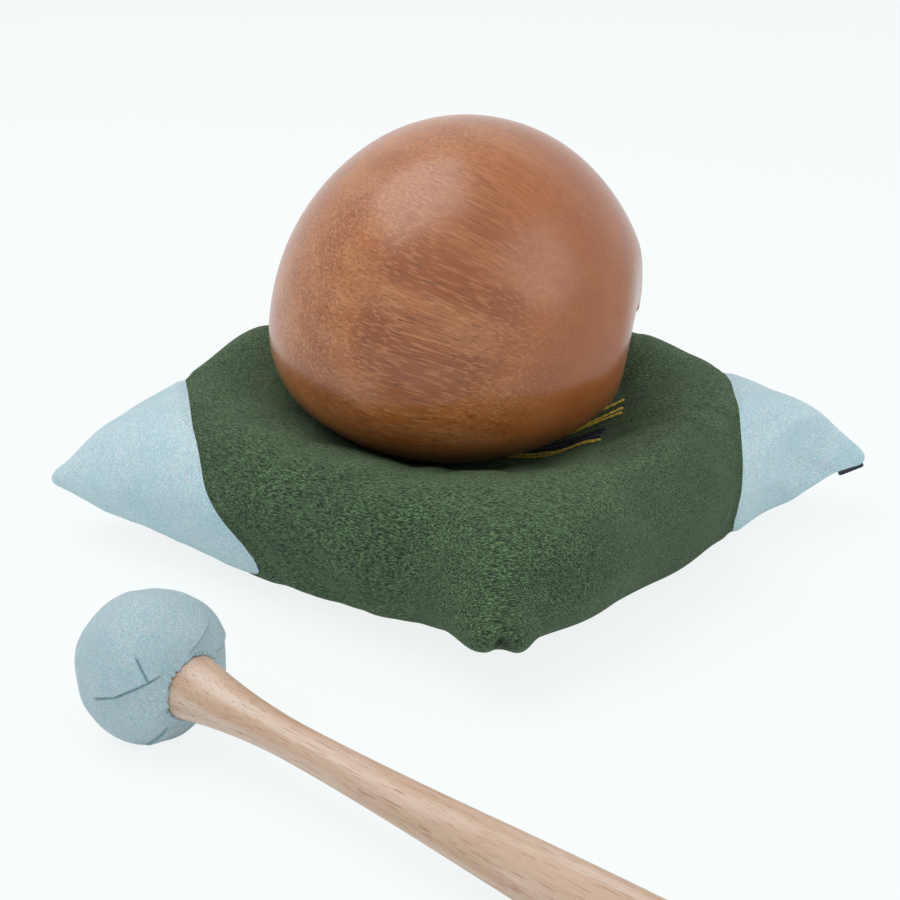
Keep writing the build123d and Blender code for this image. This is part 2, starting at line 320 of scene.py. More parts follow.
def tube(path: Array, radius: float, sides: int) -> bmesh.types.BMesh:
    """Round tube along a path, closed at both ends.

    Args:
        path: Rows of points along its middle.
        radius: Radius of the tube.
        sides: Corners of its section.

    Returns:
        The tube as a bmesh.
    """
    along = unit(np.gradient(path, axis=0))
    side = unit(np.cross(along, ODD_DIRECTION))
    over = np.cross(side, along)
    angles = np.linspace(0, 2 * math.pi, sides, endpoint=False)
    rings = [
        centre + radius * (np.cos(angles)[:, None] * across + np.sin(angles)[:, None] * upward)
        for centre, across, upward in zip(path, side, over)
    ]
    return skin_rings(rings)


def joined(parts: list[bmesh.types.BMesh]) -> bmesh.types.BMesh:
    """Put several bmeshes into one and free them."""
    whole = bmesh.new()
    for part in parts:
        mesh = bpy.data.meshes.new("part")
        part.to_mesh(mesh)
        part.free()
        whole.from_mesh(mesh)
        bpy.data.meshes.remove(mesh)
    return whole


# Shading


class Graph:
    """One procedural material, with short ways to add and link its nodes."""

    def __init__(self, name: str) -> None:
        """Start an empty material.

        Args:
            name: Name of the material.
        """
        self.material = bpy.data.materials.new(name)
        self.material.use_nodes = True
        self.tree = self.material.node_tree
        self.tree.nodes.clear()
        self.place = self.add("ShaderNodeTexCoord").outputs["Object"]

    def add(self, kind: str, inputs: dict | None = None, **settings) -> bpy.types.Node:
        """Add a node.

        Args:
            kind: Blender's name of the node type.
            inputs: Sockets by name or number, each with a value or another node's socket.
            settings: Properties of the node itself.

        Returns:
            The node.
        """
        node = self.tree.nodes.new(kind)
        for key, value in settings.items():
            setattr(node, key, value)
        for key, value in (inputs or {}).items():
            self.feed(node.inputs[key], value)
        return node

    def feed(self, socket: bpy.types.NodeSocket, value: object) -> None:
        """Link a socket to another one, or set its value."""
        if isinstance(value, bpy.types.NodeSocket):
            self.tree.links.new(value, socket)
        else:
            socket.default_value = value

    def math(self, operation: str, *values: object) -> bpy.types.NodeSocket:
        """Result of a math node on values or sockets."""
        node = self.add("ShaderNodeMath", operation=operation)
        for place, value in enumerate(values):
            self.feed(node.inputs[place], value)
        return node.outputs[0]

    def vector(self, operation: str, *values: object) -> bpy.types.NodeSocket:
        """Vector result of a vector math node."""
        node = self.add("ShaderNodeVectorMath", operation=operation)
        for place, value in enumerate(values):
            self.feed(node.inputs[place], value)
        return node.outputs["Value" if operation in ("LENGTH", "DOT_PRODUCT", "DISTANCE") else "Vector"]

    def mix(self, share: object, first: object, second: object) -> bpy.types.NodeSocket:
        """Mix two colours.

        Args:
            share: How much of the second colour, from zero to one.
            first: Colour or socket.
            second: Colour or socket.

        Returns:
            The mixed colour's socket.
        """
        node = self.add("ShaderNodeMix", data_type="RGBA", clamp_factor=True)
        self.feed(node.inputs[0], share)
        self.feed(node.inputs[6], first)
        self.feed(node.inputs[7], second)
        return node.outputs[2]

    def span(self, value: object, low: float, high: float, to_low: float = 0.0, to_high: float = 1.0):
        """Value mapped smoothly from one range to another and held there."""
        node = self.add("ShaderNodeMapRange", interpolation_type="SMOOTHSTEP")
        for place, item in enumerate((value, low, high, to_low, to_high)):
            self.feed(node.inputs[place], item)
        return node.outputs[0]

    def noise(self, place: object, scale: float, detail: float = 2.0, rough: float = 0.5, kind: str = "3D"):
        """Noise between zero and one at a place."""
        key = "W" if kind == "1D" else "Vector"
        node = self.add(
            "ShaderNodeTexNoise",
            {key: place, "Scale": scale, "Detail": detail, "Roughness": rough},
            noise_dimensions=kind,
        )
        return node.outputs[0]

    def strokes(self, place: object, stretch: tuple[float, float, float], detail: float = 1.0):
        """Noise whose blobs are drawn out, with the given number of them to a metre along each axis."""
        drawn = self.add("ShaderNodeMapping", {"Vector": place, "Scale": stretch})
        return self.noise(drawn.outputs[0], 1.0, detail, 0.55)

    def cells(self, place: object, scale: float) -> bpy.types.Node:
        """Voronoi cells at a place."""
        return self.add("ShaderNodeTexVoronoi", {"Vector": place, "Scale": scale})

    def parts(self, place: object) -> bpy.types.bpy_prop_collection:
        """Sockets of a place's X, Y and Z."""
        return self.add("ShaderNodeSeparateXYZ", {0: place}).outputs

    def point(self, *values: object) -> bpy.types.NodeSocket:
        """Place with the given X, Y and Z."""
        return self.add("ShaderNodeCombineXYZ", dict(enumerate(values))).outputs[0]

    def product(self, first: object, second: object) -> bpy.types.NodeSocket:
        """Product of two values or sockets."""
        return self.math("MULTIPLY", first, second)

    def total(self, first: object, second: object) -> bpy.types.NodeSocket:
        """Sum of two values or sockets."""
        return self.math("ADD", first, second)

    def turned_place(self, axes: Matrix, centre: Vector, stretch: tuple[float, float, float] = (1, 1, 1)):
        """Object coordinates seen from another set of axes.

        Args:
            axes: Rows are the new axes.
            centre: Where the new coordinates are zero.
            stretch: Scale along each new axis.

        Returns:
            The socket of the new coordinates.
        """
        away = axes @ -centre
        turn = self.add(
            "ShaderNodeMapping",
            {"Vector": self.place, "Rotation": tuple(axes.to_euler()), "Location": tuple(away)},
        )
        scaled = self.add("ShaderNodeMapping", {"Vector": turn.outputs[0], "Scale": stretch})
        return scaled.outputs[0]

    def bump(self, height: object, distance: float, strength: float = 1.0, under: object = None):
        """Normal with a height laid over it.

        Args:
            height: Height socket, of which one is the full distance.
            distance: Height of one, in metres.
            strength: Share of the effect.
            under: Normal socket that the bump is laid over.

        Returns:
            The bumped normal's socket.
        """
        node = self.add("ShaderNodeBump", {"Height": height, "Distance": distance, "Strength": strength})
        if under is not None:
            self.feed(node.inputs["Normal"], under)
        return node.outputs[0]

    def surface(self, **inputs: object) -> bpy.types.Material:
        """Finish the material with one principled surface.

        Args:
            inputs: Its sockets, with underscores in place of the spaces in their names.

        Returns:
            The material.
        """
        shader = self.add("ShaderNodeBsdfPrincipled")
        for key, value in inputs.items():
            self.feed(shader.inputs[key.replace("_", " ")], value)
        self.add("ShaderNodeOutputMaterial", {"Surface": shader.outputs[0]})
        return self.material


def colour(code: str) -> tuple[float, float, float, float]:
    """Linear colour of a six-digit sRGB code."""
    shares = [int(code[place : place + 2], 16) / 255 for place in (0, 2, 4)]
    linear = [share / 12.92 if share <= 0.04045 else ((share + 0.055) / 1.055) ** 2.4 for share in shares]
    return (*linear, 1.0)


@dataclass(frozen=True)
class DrumWood:
    """Lacquered brown wood with interlocked grain: strokes where it is cut along, dots where across."""

    pith: tuple[float, float, float] = (-0.0, 0.036, 0.052)
    facing: tuple[float, float, float] = (-0.19, -0.92, 0.34)
    fibre: tuple[float, float, float] = (0.93, -0.06, -0.36)
    ring_step: float = 0.0085
    ring_stretch: float = 0.55
    ring_wobble: float = 0.010
    fan: float = 5.3
    pale: str = "C88A59"
    warm: str = "A86026"
    rich: str = "984F1C"
    deep: str = "884419"
    dark: str = "5A2A12"

    def build(self) -> bpy.types.Material:
        """Make the material.

        Returns:
            The finished wood.
        """
        graph = Graph("drum_wood")
        facing = Vector(self.facing).normalized()
        fibre = Vector(self.fibre)
        fibre = (fibre - facing * fibre.dot(facing)).normalized()
        axes = Matrix((fibre, facing.cross(fibre), facing))
        along, level, depth = graph.parts(graph.turned_place(axes, Vector(self.pith)))
        lean = graph.product(graph.product(along, level), self.fan)
        fanned = graph.point(along, graph.total(level, lean), depth)
        wobble = graph.noise(fanned, 26.0, 2.0)
        across = graph.point(graph.product(along, self.ring_stretch), level, depth)
        reach = graph.total(graph.vector("LENGTH", across), graph.product(wobble, self.ring_wobble))
        rings = graph.noise(graph.math("DIVIDE", reach, self.ring_step), 1.0, 1.0, 0.5, "1D")

        long_strokes = graph.strokes(fanned, (90.0, 1450.0, 1450.0), 1.0)
        short_strokes = graph.strokes(fanned, (150.0, 1900.0, 1900.0))
        pores = graph.strokes(fanned, (420.0, 3100.0, 3100.0))
        stripes = graph.strokes(fanned, (18.0, 95.0, 95.0), 2.0)
        clouds = graph.noise(graph.place, 17.0, 2.0)

        tone = graph.mix(graph.span(rings, 0.34, 0.66), colour(self.deep), colour(self.warm))
        tone = graph.mix(graph.span(clouds, 0.38, 0.66, 0.15, 0.75), tone, colour(self.warm))
        tone = graph.mix(graph.span(stripes, 0.4, 0.7, 0.0, 0.35), tone, colour(self.pale))
        rightward = graph.parts(graph.place)[0]
        middle = graph.span(rightward, -0.004, 0.026, 1.0, 0.28)
        patches = graph.span(graph.noise(fanned, 20.0, 1.0), 0.3, 0.56, 0.55, 1.0)
        lively = graph.product(middle, patches)
        tone = graph.mix(graph.span(rightward, -0.004, 0.03, 0.0, 0.7), tone, colour(self.rich))
        light_share = graph.product(lively, graph.span(long_strokes, 0.5, 0.62, 0.0, 0.48))
        tone = graph.mix(light_share, tone, colour(self.pale))
        dark_share = graph.product(lively, graph.span(short_strokes, 0.56, 0.68, 0.0, 0.6))
        tone = graph.mix(dark_share, tone, colour(self.dark))
        tone = graph.mix(graph.span(pores, 0.6, 0.72, 0.0, 0.3), tone, colour(self.dark))
        relief = graph.bump(graph.math("SUBTRACT", 1.0, graph.span(short_strokes, 0.54, 0.7)), 0.00004, 0.5)
        return graph.surface(
            Base_Color=tone,
            Roughness=graph.span(long_strokes, 0.3, 0.7, 0.38, 0.5),
            Normal=relief,
            Specular_IOR_Level=0.25,
            Coat_Weight=0.8,
            Coat_Roughness=0.25,
            Coat_IOR=1.55,
        )


@dataclass(frozen=True)
class Crepe:
    """Silk crepe: short crinkles that run across the cushion, painted lighter on their raised tops as
    painted highlight and dark in their grooves as painted shade.
    """

    # dark colours the painted shade in the grooves and the broad darker patches; light colours the painted
    # highlight on the crinkles and the lighter fibres.
    dark: str = "15241B"
    plain: str = "385036"
    light: str = "69865D"
    bend: float = 8.0
    sway: float = 0.0022

    def build(self) -> bpy.types.Material:
        """Make the material.

        Returns:
            The finished crepe.
        """
        graph = Graph("green_crepe")
        right, back, up = graph.parts(graph.place)
        squared = graph.product(right, graph.math("ABSOLUTE", right))
        drift = graph.product(squared, self.bend)
        sway = graph.product(graph.noise(graph.place, 110.0, 1.0), self.sway)
        level = graph.total(graph.total(back, drift), sway)
        bent = graph.point(right, level, graph.total(up, sway))
        crinkles = graph.strokes(bent, (1150.0, 3600.0, 3600.0), 1.0)
        shaded_grooves = graph.strokes(bent, (820.0, 2600.0, 2600.0), 0.5)
        fibres = graph.noise(graph.place, 3600.0, 2.0, 0.6)
        broad = graph.noise(graph.place, 60.0, 3.0)
        # Painted highlight: the raised crinkles, which the bump below lifts, are coloured lighter.
        tone = graph.mix(graph.span(crinkles, 0.42, 0.62), colour(self.plain), colour(self.light))
        # Painted shade: the grooves between the crinkles, which the bump below sinks, are coloured dark.
        tone = graph.mix(graph.span(shaded_grooves, 0.53, 0.63, 0.0, 0.85), tone, colour(self.dark))
        tone = graph.mix(graph.span(fibres, 0.5, 0.8, 0.0, 0.25), tone, colour(self.light))
        tone = graph.mix(graph.span(broad, 0.35, 0.7, 0.0, 0.2), tone, colour(self.dark))
        height = graph.math("SUBTRACT", graph.span(crinkles, 0.3, 0.7), graph.span(shaded_grooves, 0.5, 0.66))
        normal = graph.bump(fibres, 0.0001, 0.5)
        normal = graph.bump(height, 0.00032, 0.9, normal)
        return graph.surface(
            Base_Color=tone,
            Roughness=0.78,
            Normal=normal,
            Sheen_Weight=0.25,
            Sheen_Roughness=0.45,
            Sheen_Tint=colour("A9BE9C"),
            Specular_IOR_Level=0.3,
        )


@dataclass(frozen=True)
class Weave:
    """Fine pale cloth of mixed blue, white and rose threads, with painted shade in the grooves of the folds
    that a mesh marks.
    """

    name: str = "blue_weave"
    ground: str = "B1D2D9"
    pale: str = "D6E6EA"
    blue: str = "8FC3CF"
    rose: str = "CCBDC6"
    # Colour of the painted shade laid into the grooves of marked folds.
    fold: str = "5F8B93"
    thread: float = 0.00024
    bias: float = math.radians(38)

    def build(self) -> bpy.types.Material:
        """Make the material.

        Returns:
            The finished cloth.
        """
        graph = Graph(self.name)
        turning = {"Vector": graph.place, "Rotation": (0.0, 0.0, self.bias)}
        turned_cloth = graph.add("ShaderNodeMapping", turning).outputs[0]
        cells = graph.cells(turned_cloth, 1.0 / self.thread)
        pick = graph.add("ShaderNodeSeparateColor", {0: cells.outputs["Color"]})
        parts = graph.parts(turned_cloth)
        rate = math.pi / self.thread
        warp = graph.math("SINE", graph.product(parts[0], rate))
        weft = graph.math("SINE", graph.product(parts[1], rate))
        height = graph.product(warp, weft)
        broad = graph.noise(graph.place, 70.0, 3.0)
        tone = graph.mix(graph.span(pick.outputs[0], 0.4, 0.6), colour(self.ground), colour(self.pale))
        tone = graph.mix(graph.span(pick.outputs[1], 0.62, 0.85, 0.0, 0.8), tone, colour(self.blue))
        tone = graph.mix(graph.span(pick.outputs[2], 0.74, 0.9, 0.0, 0.7), tone, colour(self.rose))
        tone = graph.mix(graph.span(broad, 0.35, 0.7, 0.0, 0.25), tone, colour(self.blue))
        # Painted shade: the tuck grooves that the mallet head marks are coloured darker.
        fold_shade_share = graph.add("ShaderNodeAttribute", attribute_name="fold").outputs["Fac"]
        tone = graph.mix(fold_shade_share, tone, colour(self.fold))
        normal = graph.bump(graph.span(height, -1.0, 1.0), 0.0001, 0.6)
        normal = graph.bump(cells.outputs["Distance"], 0.0001, 0.4, normal)
        return graph.surface(
            Base_Color=tone,
            Roughness=0.7,
            Normal=normal,
            Sheen_Weight=0.3,
            Sheen_Roughness=0.4,
            Specular_IOR_Level=0.35,
        )


@dataclass(frozen=True)
class Beech:
    """Sanded beech with short brown flecks along its length."""

    along: tuple[float, float, float]
    centre: tuple[float, float, float]
    name: str = "beech"
    pale: str = "D8C2B0"
    plain: str = "C4A48A"
    fleck: str = "946650"

    def build(self) -> bpy.types.Material:
        """Make the material.

        Returns:
            The finished beech.
        """
        graph = Graph(self.name)
        along = Vector(self.along).normalized()
        side = along.cross(Vector((0, 0, 1))).normalized()
        axes = Matrix((along, side, along.cross(side)))
        centre = Vector(self.centre)
        long_place = graph.turned_place(axes, centre, (14.0, 260.0, 260.0))
        fleck_place = graph.turned_place(axes, centre, (120.0, 3600.0, 3600.0))
        pore_place = graph.turned_place(axes, centre, (700.0, 6500.0, 6500.0))
        bands = graph.noise(long_place, 1.0, 4.0, 0.6)
        flecks = graph.noise(fleck_place, 1.0, 1.0)
        pores = graph.noise(pore_place, 1.0, 1.0)
        tone = graph.mix(graph.span(bands, 0.35, 0.7), colour(self.plain), colour(self.pale))
        tone = graph.mix(graph.span(flecks, 0.58, 0.7, 0.0, 0.55), tone, colour(self.fleck))
        tone = graph.mix(graph.span(pores, 0.62, 0.72, 0.0, 0.15), tone, colour(self.fleck))
        normal = graph.bump(bands, 0.0001, 0.3)
        return graph.surface(Base_Color=tone, Roughness=0.5, Normal=normal, Specular_IOR_Level=0.4)


@dataclass(frozen=True)
class Thread:
    """Twisted thread of one colour."""

    name: str
    tone: str
    dark: str

    def build(self) -> bpy.types.Material:
        """Make the material.

        Returns:
            The finished thread.
        """
        graph = Graph(self.name)
        fibres = graph.noise(graph.place, 3000.0, 2.0)
        tone = graph.mix(graph.span(fibres, 0.35, 0.65), colour(self.dark), colour(self.tone))
        return graph.surface(
            Base_Color=tone,
            Roughness=0.55,
            Normal=graph.bump(fibres, 0.0001, 0.6),
            Sheen_Weight=0.3,
            Specular_IOR_Level=0.4,
        )


@dataclass(frozen=True)
class Cotton:
    """Loose white cotton."""

    name: str = "cotton_wadding"
    tone: str = "EFEADF"

    def build(self) -> bpy.types.Material:
        """Make the material.

        Returns:
            The finished cotton.
        """
        graph = Graph(self.name)
        tufts = graph.noise(graph.place, 300.0, 4.0)
        return graph.surface(Base_Color=colour(self.tone), Roughness=0.95, Normal=graph.bump(tufts, 0.0008))


# Cushion


@dataclass(frozen=True)
class CushionForm:
    """Outline, heights and seat of the cushion."""

    side_reach: float = 0.121
    front_reach: float = 0.103
    back_reach: float = 0.118
    side_depth: float = 0.080
    crest_height: float = 0.047
    corner_round: float = 0.016
    corner_bulge: float = 0.35
    seat_height: float = 0.025
    seat_radius: float = 0.030
    seat_curve: float = 0.075
    seat_forward: float = 0.004
    crest_roll: float = 0.024
    levels: tuple[float, ...] = (0.0, 0.13, 0.36, 0.57, 0.77, 0.91, 1.0)
    reaches: tuple[float, ...] = (0.53, 0.78, 1.0, 0.945, 0.855, 0.74, 0.62)
    depths: tuple[float, ...] = (0.675, 0.90, 0.94, 1.0, 0.965, 0.90, 0.81)
    rounds: tuple[float, ...] = (0.75, 0.56, 0.25, 0.31, 0.5, 0.75, 1.0)

    @property
    def tip_height(self) -> float:
        """Height of the level at which the corners reach furthest."""
        return self.crest_height * self.levels[2]

    def outline(self, place: float, count: int) -> Array:
        """Closed outline at one place of the level table.

        Args:
            place: Position in the table, from zero at the underside to six at the crest.
            count: Points in the outline, a multiple of four.

        Returns:
            Rows of (x, y, z), starting at the right corner and going round by the back.
        """
        at = np.array([place])
        reach = float(table_curve(at, self.reaches)[0])
        middle = self.side_depth * float(table_curve(at, self.depths)[0]) / math.sqrt(2)
        half = self.corner_round * float(table_curve(at, self.rounds)[0])
        height = self.crest_height * float(np.clip(table_curve(at, self.levels)[0], 0.0, 1.0))
        tips = np.array(
            [
                [self.side_reach, 0.0],
                [0.0, self.back_reach],
                [-self.side_reach, 0.0],
                [0.0, -self.front_reach],
            ]
        ) * reach
        sides = []
        for number, tip in enumerate(tips):
            other = tips[(number + 1) % 4]
            outward, across = unit(tip), unit(other)
            corner_end = tip - outward * half * self.corner_bulge + across * half
            corner_other = other - across * half * self.corner_bulge + outward * half
            before = tip - outward * half * self.corner_bulge - across * half
            after = other - across * half * self.corner_bulge - outward * half
            leaving = arc(before, tip, corner_end, 13)[6:]
            side = arc(corner_end, (outward + across) * middle, corner_other, 60)
            arriving = arc(corner_other, other, after, 13)[:7]
            line = np.concatenate([leaving, side[1:-1], arriving])
            sides.append(corner_steps(line, count // 4))
        flat = np.concatenate(sides)
        return np.column_stack([flat, np.full(len(flat), height)])

    def seat(self, x: Array, y: Array) -> Array:
        """Height of the dished seat at places in plan."""
        reach = np.hypot(x, y + self.seat_forward)
        slope = math.asin(self.seat_radius / self.seat_curve)
        cone_low = self.seat_height + self.seat_curve * (1 - math.cos(slope))
        cone_high = self.crest_height - self.crest_roll * (1 - math.cos(slope))
        cone_end = self.seat_radius + (cone_high - cone_low) / math.tan(slope)
        crest = cone_end + self.crest_roll * math.sin(slope)
        bowl = self.seat_height + self.seat_curve - np.sqrt(
            np.maximum(self.seat_curve**2 - np.minimum(reach, self.seat_radius) ** 2, 0.0)
        )
        cone = cone_low + (reach - self.seat_radius) * math.tan(slope)
        roll = (
            self.crest_height
            - self.crest_roll
            + np.sqrt(np.maximum(self.crest_roll**2 - np.minimum(crest - reach, self.crest_roll) ** 2, 0.0))
        )
        height = np.where(reach < self.seat_radius, bowl, np.where(reach < cone_end, cone, roll))
        return np.where(reach > crest, self.crest_height, height)


@dataclass(frozen=True)
class Crease:
    """Straight fold in the cloth, seen in plan: a ridge if its height is above zero, or else a groove."""

    start: tuple[float, float]
    end: tuple[float, float]
    width: float
    height: float
    fade: float = 0.3

    def lift(self, points: Array) -> Array:
        """How far the fold lifts the cloth at each point.

        Args:
            points: Rows of places.

        Returns:
            One distance for each point.
        """
        start, end = np.asarray(self.start), np.asarray(self.end)
        line = end - start
        length = np.linalg.norm(line)
        along = (points[:, :2] - start) @ (line / length)
        off = (points[:, :2] - start) @ (np.array([-line[1], line[0]]) / length)
        share = along / length
        inside = smooth_step(share, -self.fade, self.fade) * smooth_step(1 - share, -self.fade, self.fade)
        return self.height * bell(off, self.width) * inside


@dataclass(frozen=True)
class Push:
    """Soft movement of the cover round one place in plan."""

    middle: tuple[float, float]
    spread: float
    move: tuple[float, float, float]

    def shift(self, points: Array) -> Array:
        """How the push moves each point.

        Args:
            points: Rows of places.

        Returns:
            One movement for each point.
        """
        near = bell(np.linalg.norm(points[:, :2] - self.middle, axis=1), self.spread)
        return near[:, None] * np.asarray(self.move)


@dataclass(frozen=True)
class Pucker:
    """Front corner's cloth, drawn into two lobes beside a pinched hole."""

    place_x: float = 0.0014
    spread: float = 0.012
    thinness: float = 0.8
    widening: float = 0.35
    lobe_depth: float = 0.0034
    lobes: tuple[tuple[float, float, float], ...] = ((0.5, -0.0050, 0.0036), (1.1, 0.0042, 0.0032))
    hole_depth: float = 0.0064
    hole_width: float = 0.0014
    hole_drop: float = 0.0005
    hole_height: float = 0.0030

    def shift(self, points: Array, form: CushionForm) -> Array:
        """How the pucker moves each point.

        Args:
            points: Rows of places.
            form: The cushion's form.

        Returns:
            One movement for each point.
        """
        away = points - [self.place_x, -form.front_reach, form.tip_height]
        near = bell(np.linalg.norm(away * [1.0, self.thinness, 1.0], axis=1), self.spread)
        off = away[:, 0]
        swellings = [share * bell(off - place, width) for share, place, width in self.lobes]
        lobes = self.lobe_depth * sum(swellings)
        level = bell(away[:, 2] + self.hole_drop, self.hole_height)
        hole = self.hole_depth * bell(off, self.hole_width) * level
        return near[:, None] * np.column_stack([self.widening * off, hole - lobes, np.zeros(len(points))])


@dataclass
class Cushion:
    """Stuffed cushion: a crepe middle between two pale corners, tied through its centre."""

    form: CushionForm = field(default_factory=CushionForm)
    pucker: Pucker = field(default_factory=Pucker)
    around: int = 144
    under_rings: int = 6
    side_rings: int = 25
    seat_rings: int = 17
    drum_gap: float = 0.0004
    drum_near: float = 1.25
    press_rounds: int = 3
    movement_cap: float = 0.0025
    cloth_frames: int = 20
    held_reach: float = 0.030
    held_height: float = 0.0012
    sunk_from: float = 0.55
    tie_lift: float = 0.0045
    tie_reach: float = 0.0085
    crest_rounds: int = 14
    rim_floor: float = 0.024
    rim_reach: tuple[float, float] = (0.034, 0.090)
    left_seam: tuple[float, float] = (-0.075, 0.225)
    right_seam: tuple[float, float] = (0.078, -0.10)
    creases: tuple[Crease, ...] = (
        Crease((0.030, -0.012), (0.075, -0.030), 0.0030, -0.0009),
        Crease((0.034, -0.018), (0.068, -0.042), 0.0036, -0.0010),
        Crease((0.104, -0.006), (0.085, -0.032), 0.0018, 0.0022),
        Crease((0.109, -0.008), (0.089, -0.036), 0.0038, -0.0036),
    )
    pushes: tuple[Push, ...] = (
        Push((-0.057, 0.026), 0.020, (0.0, 0.0, 0.0090)),
        Push((0.052, 0.022), 0.015, (0.0, 0.0, 0.0062)),
        Push((0.091, 0.018), 0.020, (0.0, 0.0, -0.0030)),
        Push((-0.100, 0.010), 0.016, (0.0, 0.0, -0.0012)),
        Push((-0.052, -0.062), 0.032, (0.0010, 0.0036, 0.0)),
        Push((-0.021, -0.091), 0.014, (0.0, 0.0070, 0.0)),
        Push((0.028, -0.082), 0.018, (0.0, -0.0062, 0.0)),
        Push((0.098, -0.028), 0.013, (-0.0010, 0.0050, 0.0030)),
        Push((0.086, -0.040), 0.024, (-0.0010, 0.0058, 0.0012)),
    )
    seam_near: float = -0.0067
    seam_slope: float = 0.077
    seam_bend: float = 0.012
    seam_turn: float = -0.021
    seam_fall: float = 0.022
    seam_low: tuple[float, float] = (0.006, 0.034)
    seam_groove: float = 0.0009
    seam_width: float = 0.0016
    tip_start: float = 0.104
    tip_narrowing: float = 0.4
    tip_flattening: tuple[float, float] = (0.1, 0.4)
    tab_clear: tuple[float, float] = (0.096, 0.114)
    tab_lift: float = 0.8

    def rings(self) -> list[Array]:
        """Rings of the cover, from the middle of the underside to the middle of the seat."""
        places = np.linspace(0.0, len(self.form.levels) - 1.0, self.side_rings)
        sides = [self.form.outline(place, self.around) for place in places]
        under = [sides[0] * [share, share, 1.0] for share in np.linspace(0.08, 0.90, self.under_rings)]
        seat = [sides[-1] * [share, share, 1.0] for share in np.linspace(0.96, 0.04, self.seat_rings)]
        return under + sides + seat

    def settle(self, points: Array) -> Array:
        """Let the cover sink to the seat, and lift the tied middle of the underside.

        Args:
            points: Rows of places.

        Returns:
            The new places.
        """
        settled = points.copy()
        seat = self.form.seat(points[:, 0], points[:, 1])
        upper = points[:, 2] > self.form.crest_height * self.sunk_from
        settled[upper, 2] = np.minimum(points[upper, 2], seat[upper])
        reach = np.hypot(points[:, 0], points[:, 1])
        under = ~upper & (points[:, 2] < 0.001)
        settled[under, 2] += self.tie_lift * bell(reach[under], self.tie_reach)
        return settled

    def soften_crest(self, piece: bpy.types.Object) -> None:
        """Round the rim of the seat over a wide band.

        Args:
            piece: The cover, before it is blown up.
        """
        bm = bmesh.new()
        bm.from_mesh(piece.data)
        inner, outer = self.rim_reach
        high = [vert for vert in bm.verts if vert.co.z > self.rim_floor]
        band = [vert for vert in high if inner < math.hypot(vert.co.x, vert.co.y) < outer]
        for _ in range(self.crest_rounds):
            bmesh.ops.smooth_vert(
                bm, verts=band, factor=0.5, use_axis_x=False, use_axis_y=False, use_axis_z=True
            )
        bm.to_mesh(piece.data)
        bm.free()

    def relax(self, piece: bpy.types.Object) -> None:
        """Blow the cover up a little as cloth, and keep each point near where it was.

        Args:
            piece: The cover.
        """
        before = coordinates(piece.data)
        reach = np.hypot(before[:, 0], before[:, 1])
        held = piece.vertex_groups.new(name="held")
        for index in np.nonzero((reach < self.held_reach) | (before[:, 2] < self.held_height))[0]:
            held.add([int(index)], 1.0, "REPLACE")
        cloth = piece.modifiers.new("cloth", "CLOTH")
        cloth.settings.quality = 5
        cloth.settings.mass = 0.2
        cloth.settings.tension_stiffness = 12
        cloth.settings.compression_stiffness = 12
        cloth.settings.bending_stiffness = 0.5
        cloth.settings.use_pressure = True
        cloth.settings.uniform_pressure_force = 3
        cloth.settings.vertex_group_mass = "held"
        cloth.settings.effector_weights.gravity = 0
        cloth.point_cache.frame_start = 1
        cloth.point_cache.frame_end = self.cloth_frames
        for frame_number in range(1, self.cloth_frames + 1):
            bpy.context.scene.frame_set(frame_number)
        apply_modifiers(piece)
        bpy.context.scene.frame_set(1)
        piece.vertex_groups.clear()
        moved = coordinates(piece.data) - before
        length = np.linalg.norm(moved, axis=1, keepdims=True)
        share = np.minimum(1.0, self.movement_cap / np.maximum(length, 1e-9))
        place_vertices(piece.data, before + moved * share)

    def clear_drum(self, piece: bpy.types.Object, drum: DrumForm) -> None:
        """Press the cover down to the drum that sits on it.

        Args:
            piece: The cover.
            drum: The drum's form.
        """
        points = coordinates(piece.data)
        reach = np.linalg.norm(points - drum.centre, axis=1)
        near = np.nonzero(reach < drum.radius * self.drum_near)[0]
        for _ in range(self.press_rounds):
            value, slope = drum.outside(points[near])
            points[near] += slope * np.maximum(self.drum_gap - value, 0.0)[:, None]
        place_vertices(piece.data, points)

    def seam_shift(self, points: Array, side: int) -> Array:
        """How far one colour seam leaves its straight line, in X, at each point's Y and Z."""
        if side > 0:
            return np.zeros(len(points))
        ahead = points[:, 1] - self.seam_turn
        low = 1.0 - smooth_step(points[:, 2], *self.seam_low)
        turned_in = self.seam_bend * np.clip(-ahead / self.seam_fall, 0.0, 1.3) * low
        return self.seam_near + self.seam_slope * np.maximum(ahead, 0.0) + turned_in

    def seam_distance(self, points: Array, side: int) -> Array:
        """Signed distance in plan from one colour seam, above zero on the pale corner's side."""
        offset, lean = self.right_seam if side > 0 else self.left_seam
        x = points[:, 0] - self.seam_shift(points, side)
        return side * (x - offset + lean * points[:, 1]) / math.hypot(1.0, lean)

    def sharpen_tips(self, points: Array) -> Array:
        """Draw the two pale tips to a point, and lift the right one's underside off its tab.

        Args:
            points: Rows of places.

        Returns:
            The new places.
        """
        tip_height = self.form.tip_height
        drawn = points.copy()
        near = smooth_step(np.abs(points[:, 0]), self.tip_start, self.form.side_reach)
        drawn[:, 1] *= 1.0 - self.tip_narrowing * near
        flattening = np.where(drawn[:, 2] > tip_height, *self.tip_flattening)
        drawn[:, 2] += (tip_height - drawn[:, 2]) * flattening * near
        under = smooth_step(points[:, 0], *self.tab_clear) * (drawn[:, 2] < tip_height)
        drawn[:, 2] += (tip_height - drawn[:, 2]) * self.tab_lift * under
        return drawn

